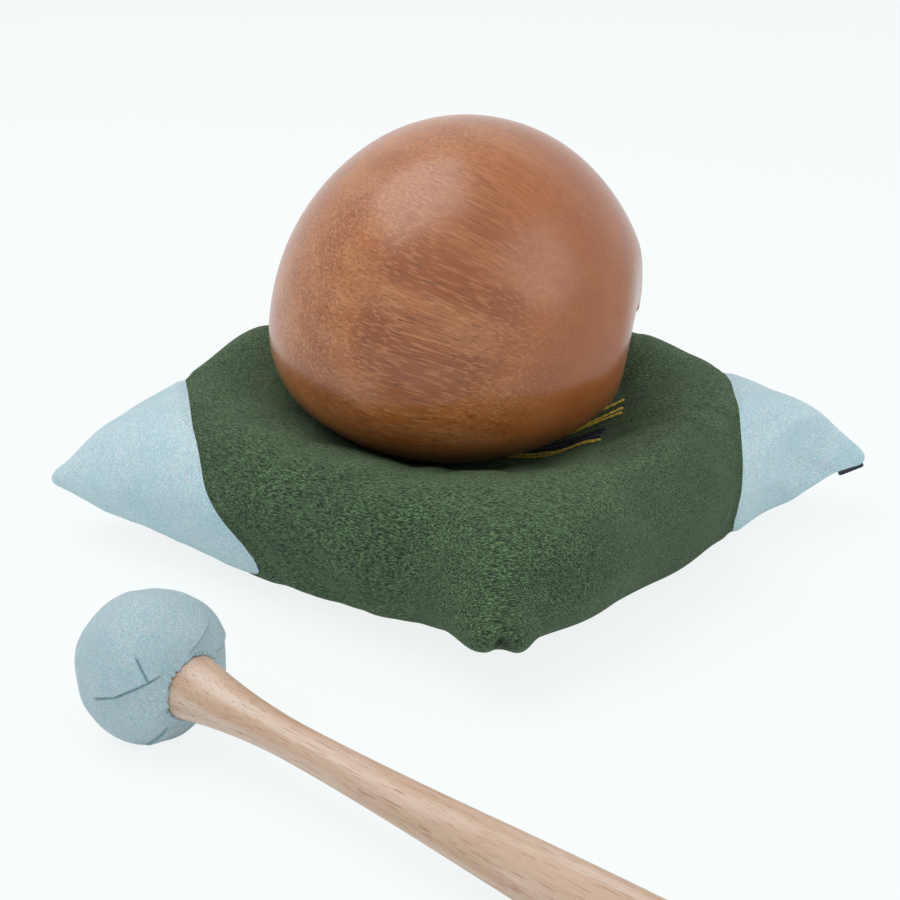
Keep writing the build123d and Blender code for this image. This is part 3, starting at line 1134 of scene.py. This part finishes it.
    def detail(self, piece: bpy.types.Object) -> None:
        """Add folds, seam grooves and soft unevenness.

        Args:
            piece: The subdivided cover.
        """
        points, out = coordinates(piece.data), normals(piece.data)
        reach = np.hypot(points[:, 0], points[:, 1])
        upper = smooth_step(points[:, 2], 0.010, 0.020)
        clear = smooth_step(reach, 0.030, 0.050) * smooth_step(points[:, 2], 0.0008, 0.006)
        lift = sum(crease.lift(points) for crease in self.creases) * upper
        calm = clear * (1.0 - smooth_step(np.abs(points[:, 0]), 0.070, 0.095))
        broad, fine = ripples(points, 0.030, 5), ripples(points, 0.012, 9)
        lift = lift + 0.0004 * broad * calm + 0.00015 * fine * clear
        for side in (-1, 1):
            seam = bell(self.seam_distance(points, side), self.seam_width)
            lift = lift - self.seam_groove * seam * clear
        moved = points + out * lift[:, None] + self.pucker.shift(points, self.form)
        weight = smooth_step(points[:, 2], 0.001, 0.012)[:, None]
        moved = moved + weight * sum(push.shift(points) for push in self.pushes)
        place_vertices(piece.data, self.sharpen_tips(moved))

    def shear(self, bm: bmesh.types.BMesh, side: int, way: float) -> None:
        """Straighten a bent colour seam for its cut, or bend it back.

        Args:
            bm: The cover.
            side: Which seam, one at the right and minus one at the left.
            way: Minus one to straighten and one to bend.
        """
        shift = self.seam_shift(np.array([vert.co for vert in bm.verts]), side)
        for vert, distance in zip(bm.verts, shift):
            vert.co.x += way * distance

    def split(
        self, whole: bpy.types.Object, materials: dict[Slot, bpy.types.Material]
    ) -> list[bpy.types.Object]:
        """Cut the cover along its colour seams into three closed pieces.

        Args:
            whole: The finished cover, removed afterwards.
            materials: Finishes by slot.

        Returns:
            The crepe middle, the left corner and the right corner.
        """
        plans = (
            ("cushion_crepe", (-1, 1), False, Slot.CREPE),
            ("cushion_corner_left", (-1,), True, Slot.WEAVE),
            ("cushion_corner_right", (1,), True, Slot.WEAVE),
        )
        pieces = []
        for name, sides, keep_outside, slot in plans:
            bm = bmesh.new()
            bm.from_mesh(whole.data)
            for side in sides:
                offset, lean = self.right_seam if side > 0 else self.left_seam
                normal = Vector((1.0, lean, 0.0)).normalized() * side
                self.shear(bm, side, -1.0)
                cut = bmesh.ops.bisect_plane(
                    bm,
                    geom=bm.verts[:] + bm.edges[:] + bm.faces[:],
                    dist=1e-7,
                    plane_co=(offset, 0, 0),
                    plane_no=normal,
                    clear_inner=keep_outside,
                    clear_outer=not keep_outside,
                )
                rim = [item for item in cut["geom_cut"] if isinstance(item, bmesh.types.BMEdge)]
                bmesh.ops.holes_fill(bm, edges=rim, sides=0)
                for edge in rim:
                    edge.smooth = False
                self.shear(bm, side, 1.0)
            bmesh.ops.recalc_face_normals(bm, faces=bm.faces)
            pieces.append(new_piece(name, bm, materials[slot]))
        bpy.data.objects.remove(whole)
        return pieces

    def build(self, materials: dict[Slot, bpy.types.Material], drum: DrumForm) -> BVHTree:
        """Model the cover and hand its pieces to the frame.

        Args:
            materials: Finishes by slot.
            drum: Form of the drum that sits on the cover.

        Returns:
            The crepe's surface, for what lies on it.
        """
        bm = skin_rings(self.rings())
        whole = new_piece("cushion_whole", bm, materials[Slot.CREPE])
        place_vertices(whole.data, self.settle(coordinates(whole.data)))
        self.soften_crest(whole)
        self.relax(whole)
        subdivide(whole, 2)
        self.detail(whole)
        self.clear_drum(whole, drum)
        crepe, left, right = self.split(whole, materials)
        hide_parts("cushion_top_crepe", "cushion_base_crepe", "cushion_wadding")
        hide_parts("cushion_top_corner_left", "cushion_base_corner_left")
        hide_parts("cushion_top_corner_right", "cushion_base_corner_right")
        for piece, slot in ((crepe, Slot.CREPE), (left, Slot.WEAVE), (right, Slot.WEAVE)):
            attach(piece, Body.CUSHION.value)
            log.info("%s: %d faces", piece.name, len(piece.data.polygons))
        return BVHTree.FromObject(crepe, bpy.context.evaluated_depsgraph_get())


# Centre tuft


@dataclass(frozen=True)
class Strand:
    """One thread of the tuft, from near the middle to its cut end."""

    end: tuple[float, float]
    lift: float
    bow: float
    hook: float = 0.0


@dataclass
class Tuft:
    """Cut ends of the tie threads, fanned out on the cloth at both sides of the drum."""

    cloth: BVHTree
    thread_radius: float = 0.00040
    start_reach: float = 0.012
    steps: int = 90
    twists: int = 8
    gold: tuple[Strand, ...] = (
        Strand((0.0460, -0.0052), 0.0013, 0.0010, 0.0004),
        Strand((0.0449, -0.0094), 0.0010, -0.0006),
        Strand((0.0441, -0.0124), 0.0009, 0.0004),
        Strand((0.0352, -0.0294), 0.0008, 0.0008),
        Strand((0.0334, -0.0310), 0.0007, -0.0006),
    )
    navy: tuple[Strand, ...] = (
        Strand((0.0388, -0.0180), 0.0008, 0.0006),
        Strand((0.0374, -0.0206), 0.0012, -0.0005),
        Strand((0.0364, -0.0232), 0.0008, 0.0005),
        Strand((0.0340, -0.0262), 0.0007, 0.0004),
    )

    def path(self, strand: Strand, turn: float) -> Array:
        """Middle line of a strand.

        Args:
            strand: The thread.
            turn: One for the right fan, minus one for its twin at the left.

        Returns:
            Rows of points on the cloth.
        """
        end = np.asarray(strand.end) * turn
        start = unit(end) * self.start_reach
        share = np.linspace(0, 1, self.steps)
        flat = start + share[:, None] * (end - start)
        across = np.array([-end[1], end[0]]) / np.linalg.norm(end)
        bend = strand.bow * np.sin(math.pi * share) + strand.hook * share**6
        flat = flat + across * bend[:, None]
        above, down = 0.08, Vector((0, 0, -1))
        height = np.array([self.cloth.ray_cast(Vector((x, y, above)), down)[0].z for x, y in flat])
        height = height + self.thread_radius * 0.7 + strand.lift * smooth_step(share, 0.55, 1.0)
        return np.column_stack([flat, height])

    def plies(self, path: Array) -> list[bmesh.types.BMesh]:
        """Two plies twisted round each other along a path."""
        along = unit(np.gradient(path, axis=0))
        side = unit(np.cross(along, [0.0, 0.0, 1.0]))
        over = np.cross(side, along)
        twist = np.linspace(0, 2 * math.pi * self.twists, len(path))
        ply = self.thread_radius * 0.55
        parts = []
        for phase in (0.0, math.pi):
            offset = np.cos(twist + phase)[:, None] * side + np.sin(twist + phase)[:, None] * over
            parts.append(tube(path + offset * ply * 0.8, ply, 6))
        return parts

    def build(self, materials: dict[Slot, bpy.types.Material]) -> None:
        """Model the threads and hand them to the frame.

        Args:
            materials: Finishes by slot.
        """
        plans = (
            ("tuft_gold", self.gold, Slot.GOLD, "tuft_gold_threads"),
            ("tuft_navy", self.navy, Slot.NAVY, "tuft_navy_threads"),
        )
        for name, strands, slot, node in plans:
            parts = []
            for strand in strands:
                for turn in (1.0, -1.0):
                    parts += self.plies(self.path(strand, turn))
            piece = new_piece(name, joined(parts), materials[slot])
            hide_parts(node)
            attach(piece, Body.CUSHION.value)
            log.info("%s: %d faces", name, len(piece.data.polygons))


# Drum


@dataclass(frozen=True)
class DrumForm:
    """Field that is zero on the drum's surface, below zero in its wood and above zero outside."""

    radius: float = 0.053
    height: float = 0.097
    widest: float = 0.0385
    crown_pole: float = 0.905
    floor_pole: float = 1.245
    roll: float = math.radians(4)
    turn: float = math.radians(-15)
    offset_x: float = -0.0027
    seat_height: float = 0.0253
    side_wall: float = 0.0095
    crown_wall: float = 0.011
    floor_wall: float = 0.009
    slit_half: float = 0.003
    hole_radius: float = 0.0085
    hole_advance: float = 0.010
    right_hole: tuple[float, float] = (0.0032, 0.0082)
    scoop_radius: float = 0.300
    left_scoop: tuple[float, float, float] = (10.9, 0.0, 0.0023)
    right_scoop: tuple[float, float, float] = (0.0, 4.0, 0.0040)
    scoop_blend: float = 0.003
    lip_blend: float = 0.0016
    edge_blend: float = 0.001
    crown_lean: float = 0.03
    floor_lean: float = 0.12
    lean_blend: float = 0.008
    right_swell: float = 0.035
    swell_band: tuple[float, float] = (-0.012, 0.015)
    probe: float = 1e-5

    @property
    def centre(self) -> Array:
        """Middle of the drum's widest level."""
        down = math.hypot(self.widest * math.cos(self.roll), self.radius * math.sin(self.roll))
        return np.array([self.offset_x, 0.0, self.seat_height + down])

    @property
    def axes(self) -> Array:
        """Rows are the drum's own right, its mouth's side and up."""
        up = np.array([math.sin(self.roll), 0.0, math.cos(self.roll)])
        mouthward = unit(np.cross(up, [math.cos(self.turn), math.sin(self.turn), 0.0]))
        return np.array([np.cross(mouthward, up), mouthward, up])

    def half_oval(self, reach: Array, rise: Array, side: float, top: float, pole: float) -> Array:
        """Distance from half an oval that is made of a side arc and a pole arc.

        Args:
            reach: Distances from the drum's axis.
            rise: Distances from its widest level.
            side: The oval's reach at that level.
            top: Its reach along the axis.
            pole: Radius of the pole arc as a share of the side's reach.

        Returns:
            One distance for each place, below zero inside.
        """
        pole_radius = side * pole
        pole_middle = top - pole_radius
        side_radius = (pole_radius**2 - side**2 - pole_middle**2) / (2 * (pole_radius - side))
        side_middle = side - side_radius
        joint = np.array([-side_middle, pole_middle]) / (side_radius - pole_radius)
        at_pole = joint[0] * (rise - pole_middle) > joint[1] * reach
        pole_side = np.hypot(reach, rise - pole_middle) - pole_radius
        return np.where(at_pole, pole_side, np.hypot(reach - side_middle, rise) - side_radius)

    def egg(self, local: Array, inset: float, crown_inset: float, floor_inset: float) -> Array:
        """Distance from the drum's oval form with its sides, crown and floor drawn in."""
        reach, side = np.hypot(local[:, 0], local[:, 1]), self.radius - inset
        crown_top = self.height - self.widest - crown_inset
        crown = self.half_oval(reach, local[:, 2], side, crown_top, self.crown_pole)
        floor = self.half_oval(reach, -local[:, 2], side, self.widest - floor_inset, self.floor_pole)
        return np.where(local[:, 2] > 0, crown, floor)

    def local(self, points: Array) -> Array:
        """Places in the drum's own axes, with the carved block's lean and swelling taken out.

        Args:
            points: Rows of places.

        Returns:
            Rows of places in the even form.
        """
        local = (points - self.centre) @ self.axes.T
        rise = local[:, 2]
        upward = (rise + np.hypot(rise, self.lean_blend) - self.lean_blend) / 2
        local[:, 0] -= self.floor_lean * rise + (self.crown_lean - self.floor_lean) * upward
        swell = 1.0 + self.right_swell * smooth_step(rise, *self.swell_band)
        local[:, 0] = np.where(local[:, 0] > 0, local[:, 0] / swell, local[:, 0])
        return local

    def field(self, points: Array) -> Array:
        """Value of the drum's field.

        Args:
            points: Rows of places.

        Returns:
            One value for each point, near to its distance from the surface.
        """
        local = self.local(points)
        value = self.egg(local, 0.0, 0.0, 0.0)
        for side, (turn, climb, depth) in ((-1.0, self.left_scoop), (1.0, self.right_scoop)):
            turn, climb = math.radians(turn), math.radians(climb)
            outward = unit(np.array([side * math.cos(turn), math.sin(turn), math.tan(climb)]))
            middle = outward * (self.radius - depth + self.scoop_radius)
            ball = np.linalg.norm(local - middle, axis=1) - self.scoop_radius
            value = smooth_max(value, -ball, self.scoop_blend)
        hollow = self.egg(local, self.side_wall, self.crown_wall, self.floor_wall)
        value = smooth_max(value, -hollow, self.edge_blend)
        right = local[:, 0] > 0
        nearest = np.where(right, self.right_hole[0], self.hole_advance)
        furthest = np.where(right, self.right_hole[1], self.hole_advance)
        from_hole = local[:, 1] - np.clip(local[:, 1], nearest, furthest)
        bore = np.hypot(from_hole, local[:, 2]) - self.hole_radius
        value = smooth_max(value, -bore, self.lip_blend)
        level = np.abs(local[:, 2]) - self.slit_half
        slit = smooth_max(level, self.hole_advance - local[:, 1], self.edge_blend)
        return smooth_max(value, -slit, self.lip_blend)

    def outside(self, points: Array) -> tuple[Array, Array]:
        """Distance from the drum's oval form, and the way out of it, at each point."""
        value = self.egg(self.local(points), 0.0, 0.0, 0.0)
        probes = self.probe * np.eye(3)
        steps = [self.egg(self.local(points + step), 0.0, 0.0, 0.0) - value for step in probes]
        return value, unit(np.stack(steps, axis=1))

    def onto_surface(self, points: Array, rounds: int = 6, step_limit: float = 0.0012) -> Array:
        """Move points onto the surface along the field's slope.

        Args:
            points: Rows of places near the surface.
            rounds: How many times to move them.
            step_limit: Furthest that one move goes.

        Returns:
            The new places.
        """
        probes = self.probe * np.eye(3)
        moved = points.copy()
        for _ in range(rounds):
            value = self.field(moved)
            rises = [self.field(moved + step) - self.field(moved - step) for step in probes]
            slope = np.stack(rises, axis=1) / (2 * self.probe)
            steep = np.maximum((slope**2).sum(axis=1), 0.05)
            step = -value[:, None] * slope / steep[:, None]
            length = np.linalg.norm(step, axis=1, keepdims=True)
            moved += step * np.minimum(1.0, step_limit / np.maximum(length, 1e-12))
        return moved


@dataclass
class Drum:
    """Hollow wooden fish with its mouth slit, end holes and scooped cheeks."""

    form: DrumForm = field(default_factory=DrumForm)
    voxel: float = 0.0011
    smooth_rounds: int = 3

    def build(self, node: bpy.types.Object, material: bpy.types.Material) -> None:
        """Model the drum and hand it to the frame.

        Args:
            node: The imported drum, whose openings the piece takes over.
            material: Its finish.
        """
        bm = bmesh.new()
        bm.from_mesh(node.data)
        bmesh.ops.remove_doubles(bm, verts=bm.verts, dist=1e-6)
        piece = new_piece("drum_smooth", bm, material)
        remesh = piece.modifiers.new("even", "REMESH")
        remesh.mode = "VOXEL"
        remesh.voxel_size = self.voxel
        apply_modifiers(piece)
        bm = bmesh.new()
        bm.from_mesh(piece.data)
        for _ in range(self.smooth_rounds):
            bmesh.ops.smooth_vert(
                bm, verts=bm.verts, factor=0.5, use_axis_x=True, use_axis_y=True, use_axis_z=True
            )
        bm.to_mesh(piece.data)
        bm.free()
        points = self.form.onto_surface(coordinates(piece.data))
        place_vertices(piece.data, points)
        piece.data.materials.clear()
        piece.data.materials.append(material)
        piece.data.shade_smooth()
        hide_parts("drum_body")
        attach(piece, Body.DRUM.value)
        log.info("drum_smooth: %d faces", len(piece.data.polygons))


# Mallet


@dataclass(frozen=True)
class MalletForm:
    """Sizes and place of the mallet."""

    head_radius: float = 0.017
    setback: float = 0.0128
    head_flat: float = 0.0003
    head_wide: float = 0.0182
    head_back: float = 0.0192
    head_front: float = 0.0132
    head_widest: float = 0.0119
    handle_length: float = 0.184
    mouth_diameter: float = 0.0155
    neck_diameter: float = 0.0086
    grip_diameter: float = 0.015
    butt_diameter: float = 0.012
    butt_round: float = 0.003
    neck_place: float = 0.17
    grip_place: float = 0.74
    mouth: tuple[float, float] = (-0.0705, -0.114)
    heading: float = math.radians(-42)
    stem_length: float = 0.018
    stem_radius: float = 0.0035
    mouth_sunk: float = 0.0026
    hem: tuple[tuple[float, float], ...] = (
        (0.0001, 0.0083),
        (0.0003, 0.0079),
        (0.0001, 0.0076),
        (-0.0010, 0.0074),
        (-0.0040, 0.0073),
        (-0.0040, 0.0),
    )

    @property
    def dip(self) -> float:
        """Angle by which the handle drops towards its end."""
        span = self.handle_length - self.butt_round + self.setback
        butt = self.butt_diameter / 2
        rise = self.head_radius - self.head_flat
        return math.asin(rise / math.hypot(span, butt)) - math.atan2(butt, span)

    @property
    def along(self) -> Vector:
        """Direction of the handle, from the head to its end."""
        flat = math.cos(self.dip)
        return Vector((math.cos(self.heading) * flat, math.sin(self.heading) * flat, -math.sin(self.dip)))

    @property
    def start(self) -> Vector:
        """Middle of the head's mouth."""
        height = self.head_radius - self.head_flat - self.setback * math.sin(self.dip)
        return Vector((*self.mouth, height))

    @property
    def placement(self) -> Matrix:
        """Turns mallet coordinates (X along the handle, Z up) into the row frame."""
        along = self.along
        side = Vector((0, 0, 1)).cross(along).normalized()
        up = along.cross(side)
        turn = Matrix((along, side, up)).transposed().to_4x4()
        return Matrix.Translation(self.start) @ turn


@dataclass(frozen=True)
class Tuck:
    """Fold of the head's cloth between two directions from its middle: a groove with a raised lip."""

    start: tuple[float, float, float]
    end: tuple[float, float, float]
    lip: float = 0.0006
    groove: float = 0.0007

    def lift(self, directions: Array, radius: float) -> tuple[Array, Array]:
        """How far the fold lifts the cloth, and how deep in its groove each place is.

        Args:
            directions: Unit vectors from the head's middle.
            radius: The head's radius.

        Returns:
            One distance for each direction, and one share from zero to one.
        """
        start, end = unit(np.asarray(self.start)), unit(np.asarray(self.end))
        across = unit(np.cross(start, end))
        ahead = np.cross(across, start)
        length = math.acos(float(start @ end))
        along = np.arctan2(directions @ ahead, directions @ start) / length
        inside = smooth_step(along, -0.2, 0.12) * smooth_step(1 - along, -0.2, 0.12)
        off = directions @ across * radius
        lip = np.where(off > 0, np.exp(-off / 0.0032), bell(off, 0.0002))
        groove = inside * bell(off + 0.00022, 0.00022)
        return inside * self.lip * lip - self.groove * groove, groove


@dataclass
class Mallet:
    """Beech handle in a stuffed cloth head."""

    form: MalletForm = field(default_factory=MalletForm)
    frays: int = 34
    tucks: tuple[Tuck, ...] = (
        Tuck((-0.01, -1.0, 0.04), (0.32, -0.93, 0.17)),
        Tuck((0.28, -0.94, 0.15), (0.69, -0.59, 0.42), 0.0007),
        Tuck((0.60, -0.71, 0.36), (0.38, -0.68, 0.62), 0.0004, 0.0005),
        Tuck((0.77, 0.04, 0.63), (0.52, 0.49, 0.69), 0.0011, 0.0009),
        Tuck((0.70, -0.45, -0.55), (0.35, -0.52, -0.78)),
        Tuck((0.72, 0.60, 0.35), (0.20, 0.95, 0.22)),
        Tuck((0.74, 0.45, -0.50), (0.25, 0.70, -0.67), 0.0005),
    )

    def head(self, material: bpy.types.Material) -> bpy.types.Object:
        """Stuffed head with its cloth tucked and gathered round the handle."""
        form = self.form
        mouth_turn = math.acos(form.head_widest / form.head_front)
        angles = np.linspace(math.pi, mouth_turn + 0.05, 150)
        length = np.where(np.cos(angles) < 0, form.head_back, form.head_front)
        along = length * np.cos(angles) - form.head_widest
        profile = np.column_stack([along, form.head_wide * np.sin(angles)])
        profile[0, 1] = 0.0
        piece = new_piece("mallet_head", turned(np.concatenate([profile, form.hem]), 440), material)
        points, out = coordinates(piece.data), normals(piece.data)
        directions = unit(points + [form.head_widest, 0.0, 0.0])
        lift = 0.00022 * ripples(points, 0.014, 3) + 0.00008 * ripples(points, 0.006, 4)
        # Share of each place that lies in a tuck's groove, kept for the head cloth's painted shade.
        fold_shade_share = np.zeros(len(points))
        for tuck in self.tucks:
            rise, groove = tuck.lift(directions, form.head_wide)
            lift = lift + rise
            fold_shade_share = np.maximum(fold_shade_share, groove)
        visible = smooth_step(np.hypot(points[:, 1], points[:, 2]), 0.0076, 0.0086)
        share = np.maximum(visible, points[:, 0] < -0.006)
        points = points + out * (lift * share)[:, None]
        edge = smooth_step(points[:, 0], -0.0012, 0.0)
        turn = np.arctan2(points[:, 2], points[:, 1])
        ragged = np.column_stack([np.cos(turn), np.sin(turn), 0.0 * turn]) * 0.01
        points[:, 0] += 0.0003 * edge * ripples(ragged, 0.0022, 8)
        place_vertices(piece.data, points)
        # Stored for the head cloth, which paints painted shade into the tucks' grooves.
        fold = piece.data.attributes.new("fold", "FLOAT", "POINT")
        fold.data.foreach_set("value", np.clip(0.8 * fold_shade_share * share, 0.0, 1.0))
        return piece

    def frayed_edge(self, material: bpy.types.Material) -> bpy.types.Object:
        """Cut threads that stand out of the cloth's edge round the handle."""
        random = np.random.default_rng(11)
        parts = []
        for angle in np.linspace(0, 2 * math.pi, self.frays, endpoint=False):
            turn = angle + random.uniform(-0.09, 0.09)
            reach = random.uniform(0.0003, 0.0010)
            outward = np.array([0.0, math.cos(turn), math.sin(turn)])
            root = outward * 0.0083 + [-0.0004, 0, 0]
            tip = outward * (0.0078 + random.uniform(0, 0.0005)) + [reach, 0, 0]
            across = np.array([0.0, -math.sin(turn), math.cos(turn)])
            middle = (root + tip) / 2 + outward * 0.0003 + across * random.uniform(-0.0006, 0.0006)
            share = np.linspace(0, 1, 6)[:, None]
            path = (1 - share) ** 2 * root + 2 * share * (1 - share) * middle + share**2 * tip
            parts.append(tube(path, random.uniform(0.0001, 0.00018), 5))
        return new_piece("mallet_fray", joined(parts), material)

    def handle(self, material: bpy.types.Material) -> bpy.types.Object:
        """Turned handle: a flared mouth, a slim neck, a full grip and a rounded end."""
        form = self.form
        length = form.handle_length
        neck, grip = form.neck_place * length, form.grip_place * length
        mouth_r, neck_r = form.mouth_diameter / 2, form.neck_diameter / 2
        grip_r, butt_r = form.grip_diameter / 2, form.butt_diameter / 2
        profile = [
            (-form.stem_length, 0.0),
            (-form.stem_length, form.stem_radius),
            (-form.mouth_sunk, form.stem_radius),
            (-form.mouth_sunk, mouth_r - 0.0006),
            (0.0006, mouth_r - 0.0001),
        ]
        flare = np.linspace(0, neck, 20)[2:]
        fall = 1 - flare / neck
        widening = (mouth_r - neck_r) * (0.45 * fall + 0.55 * fall**2) * fall**0.4
        profile += list(zip(flare, neck_r + widening))
        rise = np.linspace(neck, grip, 30)[1:]
        profile += list(zip(rise, neck_r + (grip_r - neck_r) * smooth_step(rise, neck, grip)))
        drop = np.linspace(grip, length - form.butt_round, 16)[1:]
        fade = smooth_step(drop, grip, length)
        profile += list(zip(drop, grip_r + (butt_r - grip_r) * fade))
        last = profile[-1][1]
        for turn in np.linspace(0, math.pi / 2, 8)[1:]:
            back, inward = form.butt_round * (1 - math.sin(turn)), form.butt_round * (1 - math.cos(turn))
            profile.append((length - back, last - inward))
        profile.append((length, 0.0))
        return new_piece("mallet_stick", turned(np.array(profile), 64), material)

    def build(self, materials: dict[Slot, bpy.types.Material]) -> None:
        """Model the mallet and hand its pieces to the frame.

        Args:
            materials: Finishes by slot.
        """
        plans = (
            (self.head(materials[Slot.HEAD_CLOTH]), Slot.HEAD_CLOTH, ("mallet_cover", "mallet_padding")),
            (self.frayed_edge(materials[Slot.HEAD_CLOTH]), Slot.HEAD_CLOTH, ("mallet_binding",)),
            (self.handle(materials[Slot.BEECH]), Slot.BEECH, ("mallet_handle",)),
        )
        for piece, slot, nodes in plans:
            piece.data.transform(self.form.placement)
            points = coordinates(piece.data)
            points[:, 2] = np.maximum(points[:, 2], 0.0)
            place_vertices(piece.data, points)
            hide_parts(*nodes)
            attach(piece, Body.MALLET.value)
            log.info("%s: %d faces", piece.name, len(piece.data.polygons))


# Studio


@dataclass(frozen=True)
class Lamp:
    """Square soft light that looks at the object."""

    name: str
    place: tuple[float, float, float]
    size: float
    power: float
    looks_at: tuple[float, float, float] = (0.0, 0.0, 0.04)

    def build(self) -> None:
        """Add the light to the scene."""
        data = bpy.data.lights.new(self.name, "AREA")
        data.size = self.size
        data.energy = self.power
        lamp = bpy.data.objects.new(self.name, data)
        bpy.context.scene.collection.objects.link(lamp)
        lamp.location = self.place
        view = Vector(self.looks_at) - Vector(self.place)
        lamp.rotation_euler = view.to_track_quat("-Z", "Y").to_euler()


@dataclass(frozen=True)
class Studio:
    """Pale floor, soft light and the photograph's camera."""

    target: tuple[float, float, float] = (-0.0044, 0.0003, 0.0241)
    distance: float = 0.456
    turn: float = math.radians(-3.7)
    elevation: float = math.radians(23.1)
    lens: float = 61.6
    floor_size: float = 6.0
    glow_share: float = 0.87
    world_lights: float = 0.66
    world_seen: float = 0.95
    lamps: tuple[Lamp, ...] = (
        Lamp("key", (-0.45, 0.0, 1.15), 0.9, 6.6),
        Lamp("fill", (0.9, -0.7, 0.8), 0.9, 3.3),
    )

    def camera(self) -> None:
        """Place the camera as the photograph saw the object."""
        right = Vector((math.cos(self.turn), math.sin(self.turn), 0.0))
        back = Vector(
            (
                math.sin(self.turn) * math.cos(self.elevation),
                -math.cos(self.turn) * math.cos(self.elevation),
                math.sin(self.elevation),
            )
        )
        up = back.cross(right)
        data = bpy.data.cameras.new("camera")
        data.lens = self.lens
        data.sensor_width = 36.0
        data.clip_start = 0.01
        eye = bpy.data.objects.new("camera", data)
        bpy.context.scene.collection.objects.link(eye)
        turn = Matrix((right, up, back)).transposed().to_4x4()
        eye.matrix_world = Matrix.Translation(Vector(self.target) + back * self.distance) @ turn
        bpy.context.scene.camera = eye

    def floor(self) -> None:
        """Pale floor that catches a faint shadow."""
        bm = bmesh.new()
        bmesh.ops.create_grid(bm, x_segments=1, y_segments=1, size=self.floor_size / 2)
        graph = Graph("floor")
        shade = graph.add("ShaderNodeBsdfDiffuse", {"Color": colour("F1F6F7")})
        glow = graph.add("ShaderNodeEmission", {"Color": colour("F9FDFD")})
        rays = graph.add("ShaderNodeLightPath").outputs
        bent = graph.math("MAXIMUM", rays["Is Glossy Ray"], rays["Is Transmission Ray"])
        direct = graph.math("MAXIMUM", rays["Is Camera Ray"], bent)
        share = graph.product(direct, self.glow_share)
        mixed = graph.add("ShaderNodeMixShader", {0: share, 1: shade.outputs[0], 2: glow.outputs[0]})
        graph.add("ShaderNodeOutputMaterial", {"Surface": mixed.outputs[0]})
        new_piece("floor", bm, graph.material)

    def world(self) -> None:
        """Even pale surroundings, brighter to the camera and to reflections than as a light."""
        world = bpy.data.worlds.new("studio")
        bpy.context.scene.world = world
        world.use_nodes = True
        nodes = world.node_tree.nodes
        background = nodes["Background"]
        background.inputs[0].default_value = colour("F6FAFC")
        rays = nodes.new("ShaderNodeLightPath")
        strength = nodes.new("ShaderNodeMapRange")
        strength.inputs["To Min"].default_value = self.world_lights
        strength.inputs["To Max"].default_value = self.world_seen
        either = nodes.new("ShaderNodeMath")
        either.operation = "MAXIMUM"
        world.node_tree.links.new(rays.outputs["Is Camera Ray"], either.inputs[0])
        world.node_tree.links.new(rays.outputs["Is Glossy Ray"], either.inputs[1])
        world.node_tree.links.new(either.outputs[0], strength.inputs["Value"])
        world.node_tree.links.new(strength.outputs[0], background.inputs[1])

    def build(self) -> None:
        """Set up the whole studio."""
        self.floor()
        self.world()
        for lamp in self.lamps:
            lamp.build()
        self.camera()
        bpy.context.scene.view_settings.view_transform = "Standard"


def dress_node(node: bpy.types.Object, material: bpy.types.Material) -> None:
    """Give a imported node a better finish.

    Args:
        node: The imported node.
        material: Its finish.
    """
    node.data.materials.clear()
    node.data.materials.append(material)


def main() -> None:
    """Build every piece in order and stage the photograph."""
    logging.basicConfig(level=logging.INFO, format="%(message)s")
    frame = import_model()
    mallet = Mallet()
    along, centre = tuple(mallet.form.along), tuple(mallet.form.start)
    materials = {
        Slot.DRUM_WOOD: DrumWood().build(),
        Slot.CREPE: Crepe().build(),
        Slot.WEAVE: Weave().build(),
        Slot.HEAD_CLOTH: Weave("head_cloth", "A3C0C6", "BECED3", "8AB6C0", "BDB4BA").build(),
        Slot.BEECH: Beech(along, centre).build(),
        Slot.CORE: Beech(along, centre, "core_wood", "C9A582", "B98F68").build(),
        Slot.GOLD: Thread("gold_thread", "FFE455", "D6AE30").build(),
        Slot.NAVY: Thread("navy_thread", "1C2340", "0A0D1C").build(),
        Slot.WADDING: Cotton().build(),
    }
    drum = Drum()
    drum.build(frame["nodes"]["drum_body"], materials[Slot.DRUM_WOOD])
    cushion = Cushion()
    cloth = cushion.build(materials, drum.form)
    Tuft(cloth).build(materials)
    mallet.build(materials)
    kept_nodes = (
        ("cushion_tie", Slot.GOLD),
        ("tie_knot", Slot.GOLD),
        ("corner_tab", Slot.NAVY),
        ("mallet_core", Slot.CORE),
    )
    for name, slot in kept_nodes:
        dress_node(frame["nodes"][name], materials[slot])
    Studio().build()


if __name__ == "__main__":
    main()
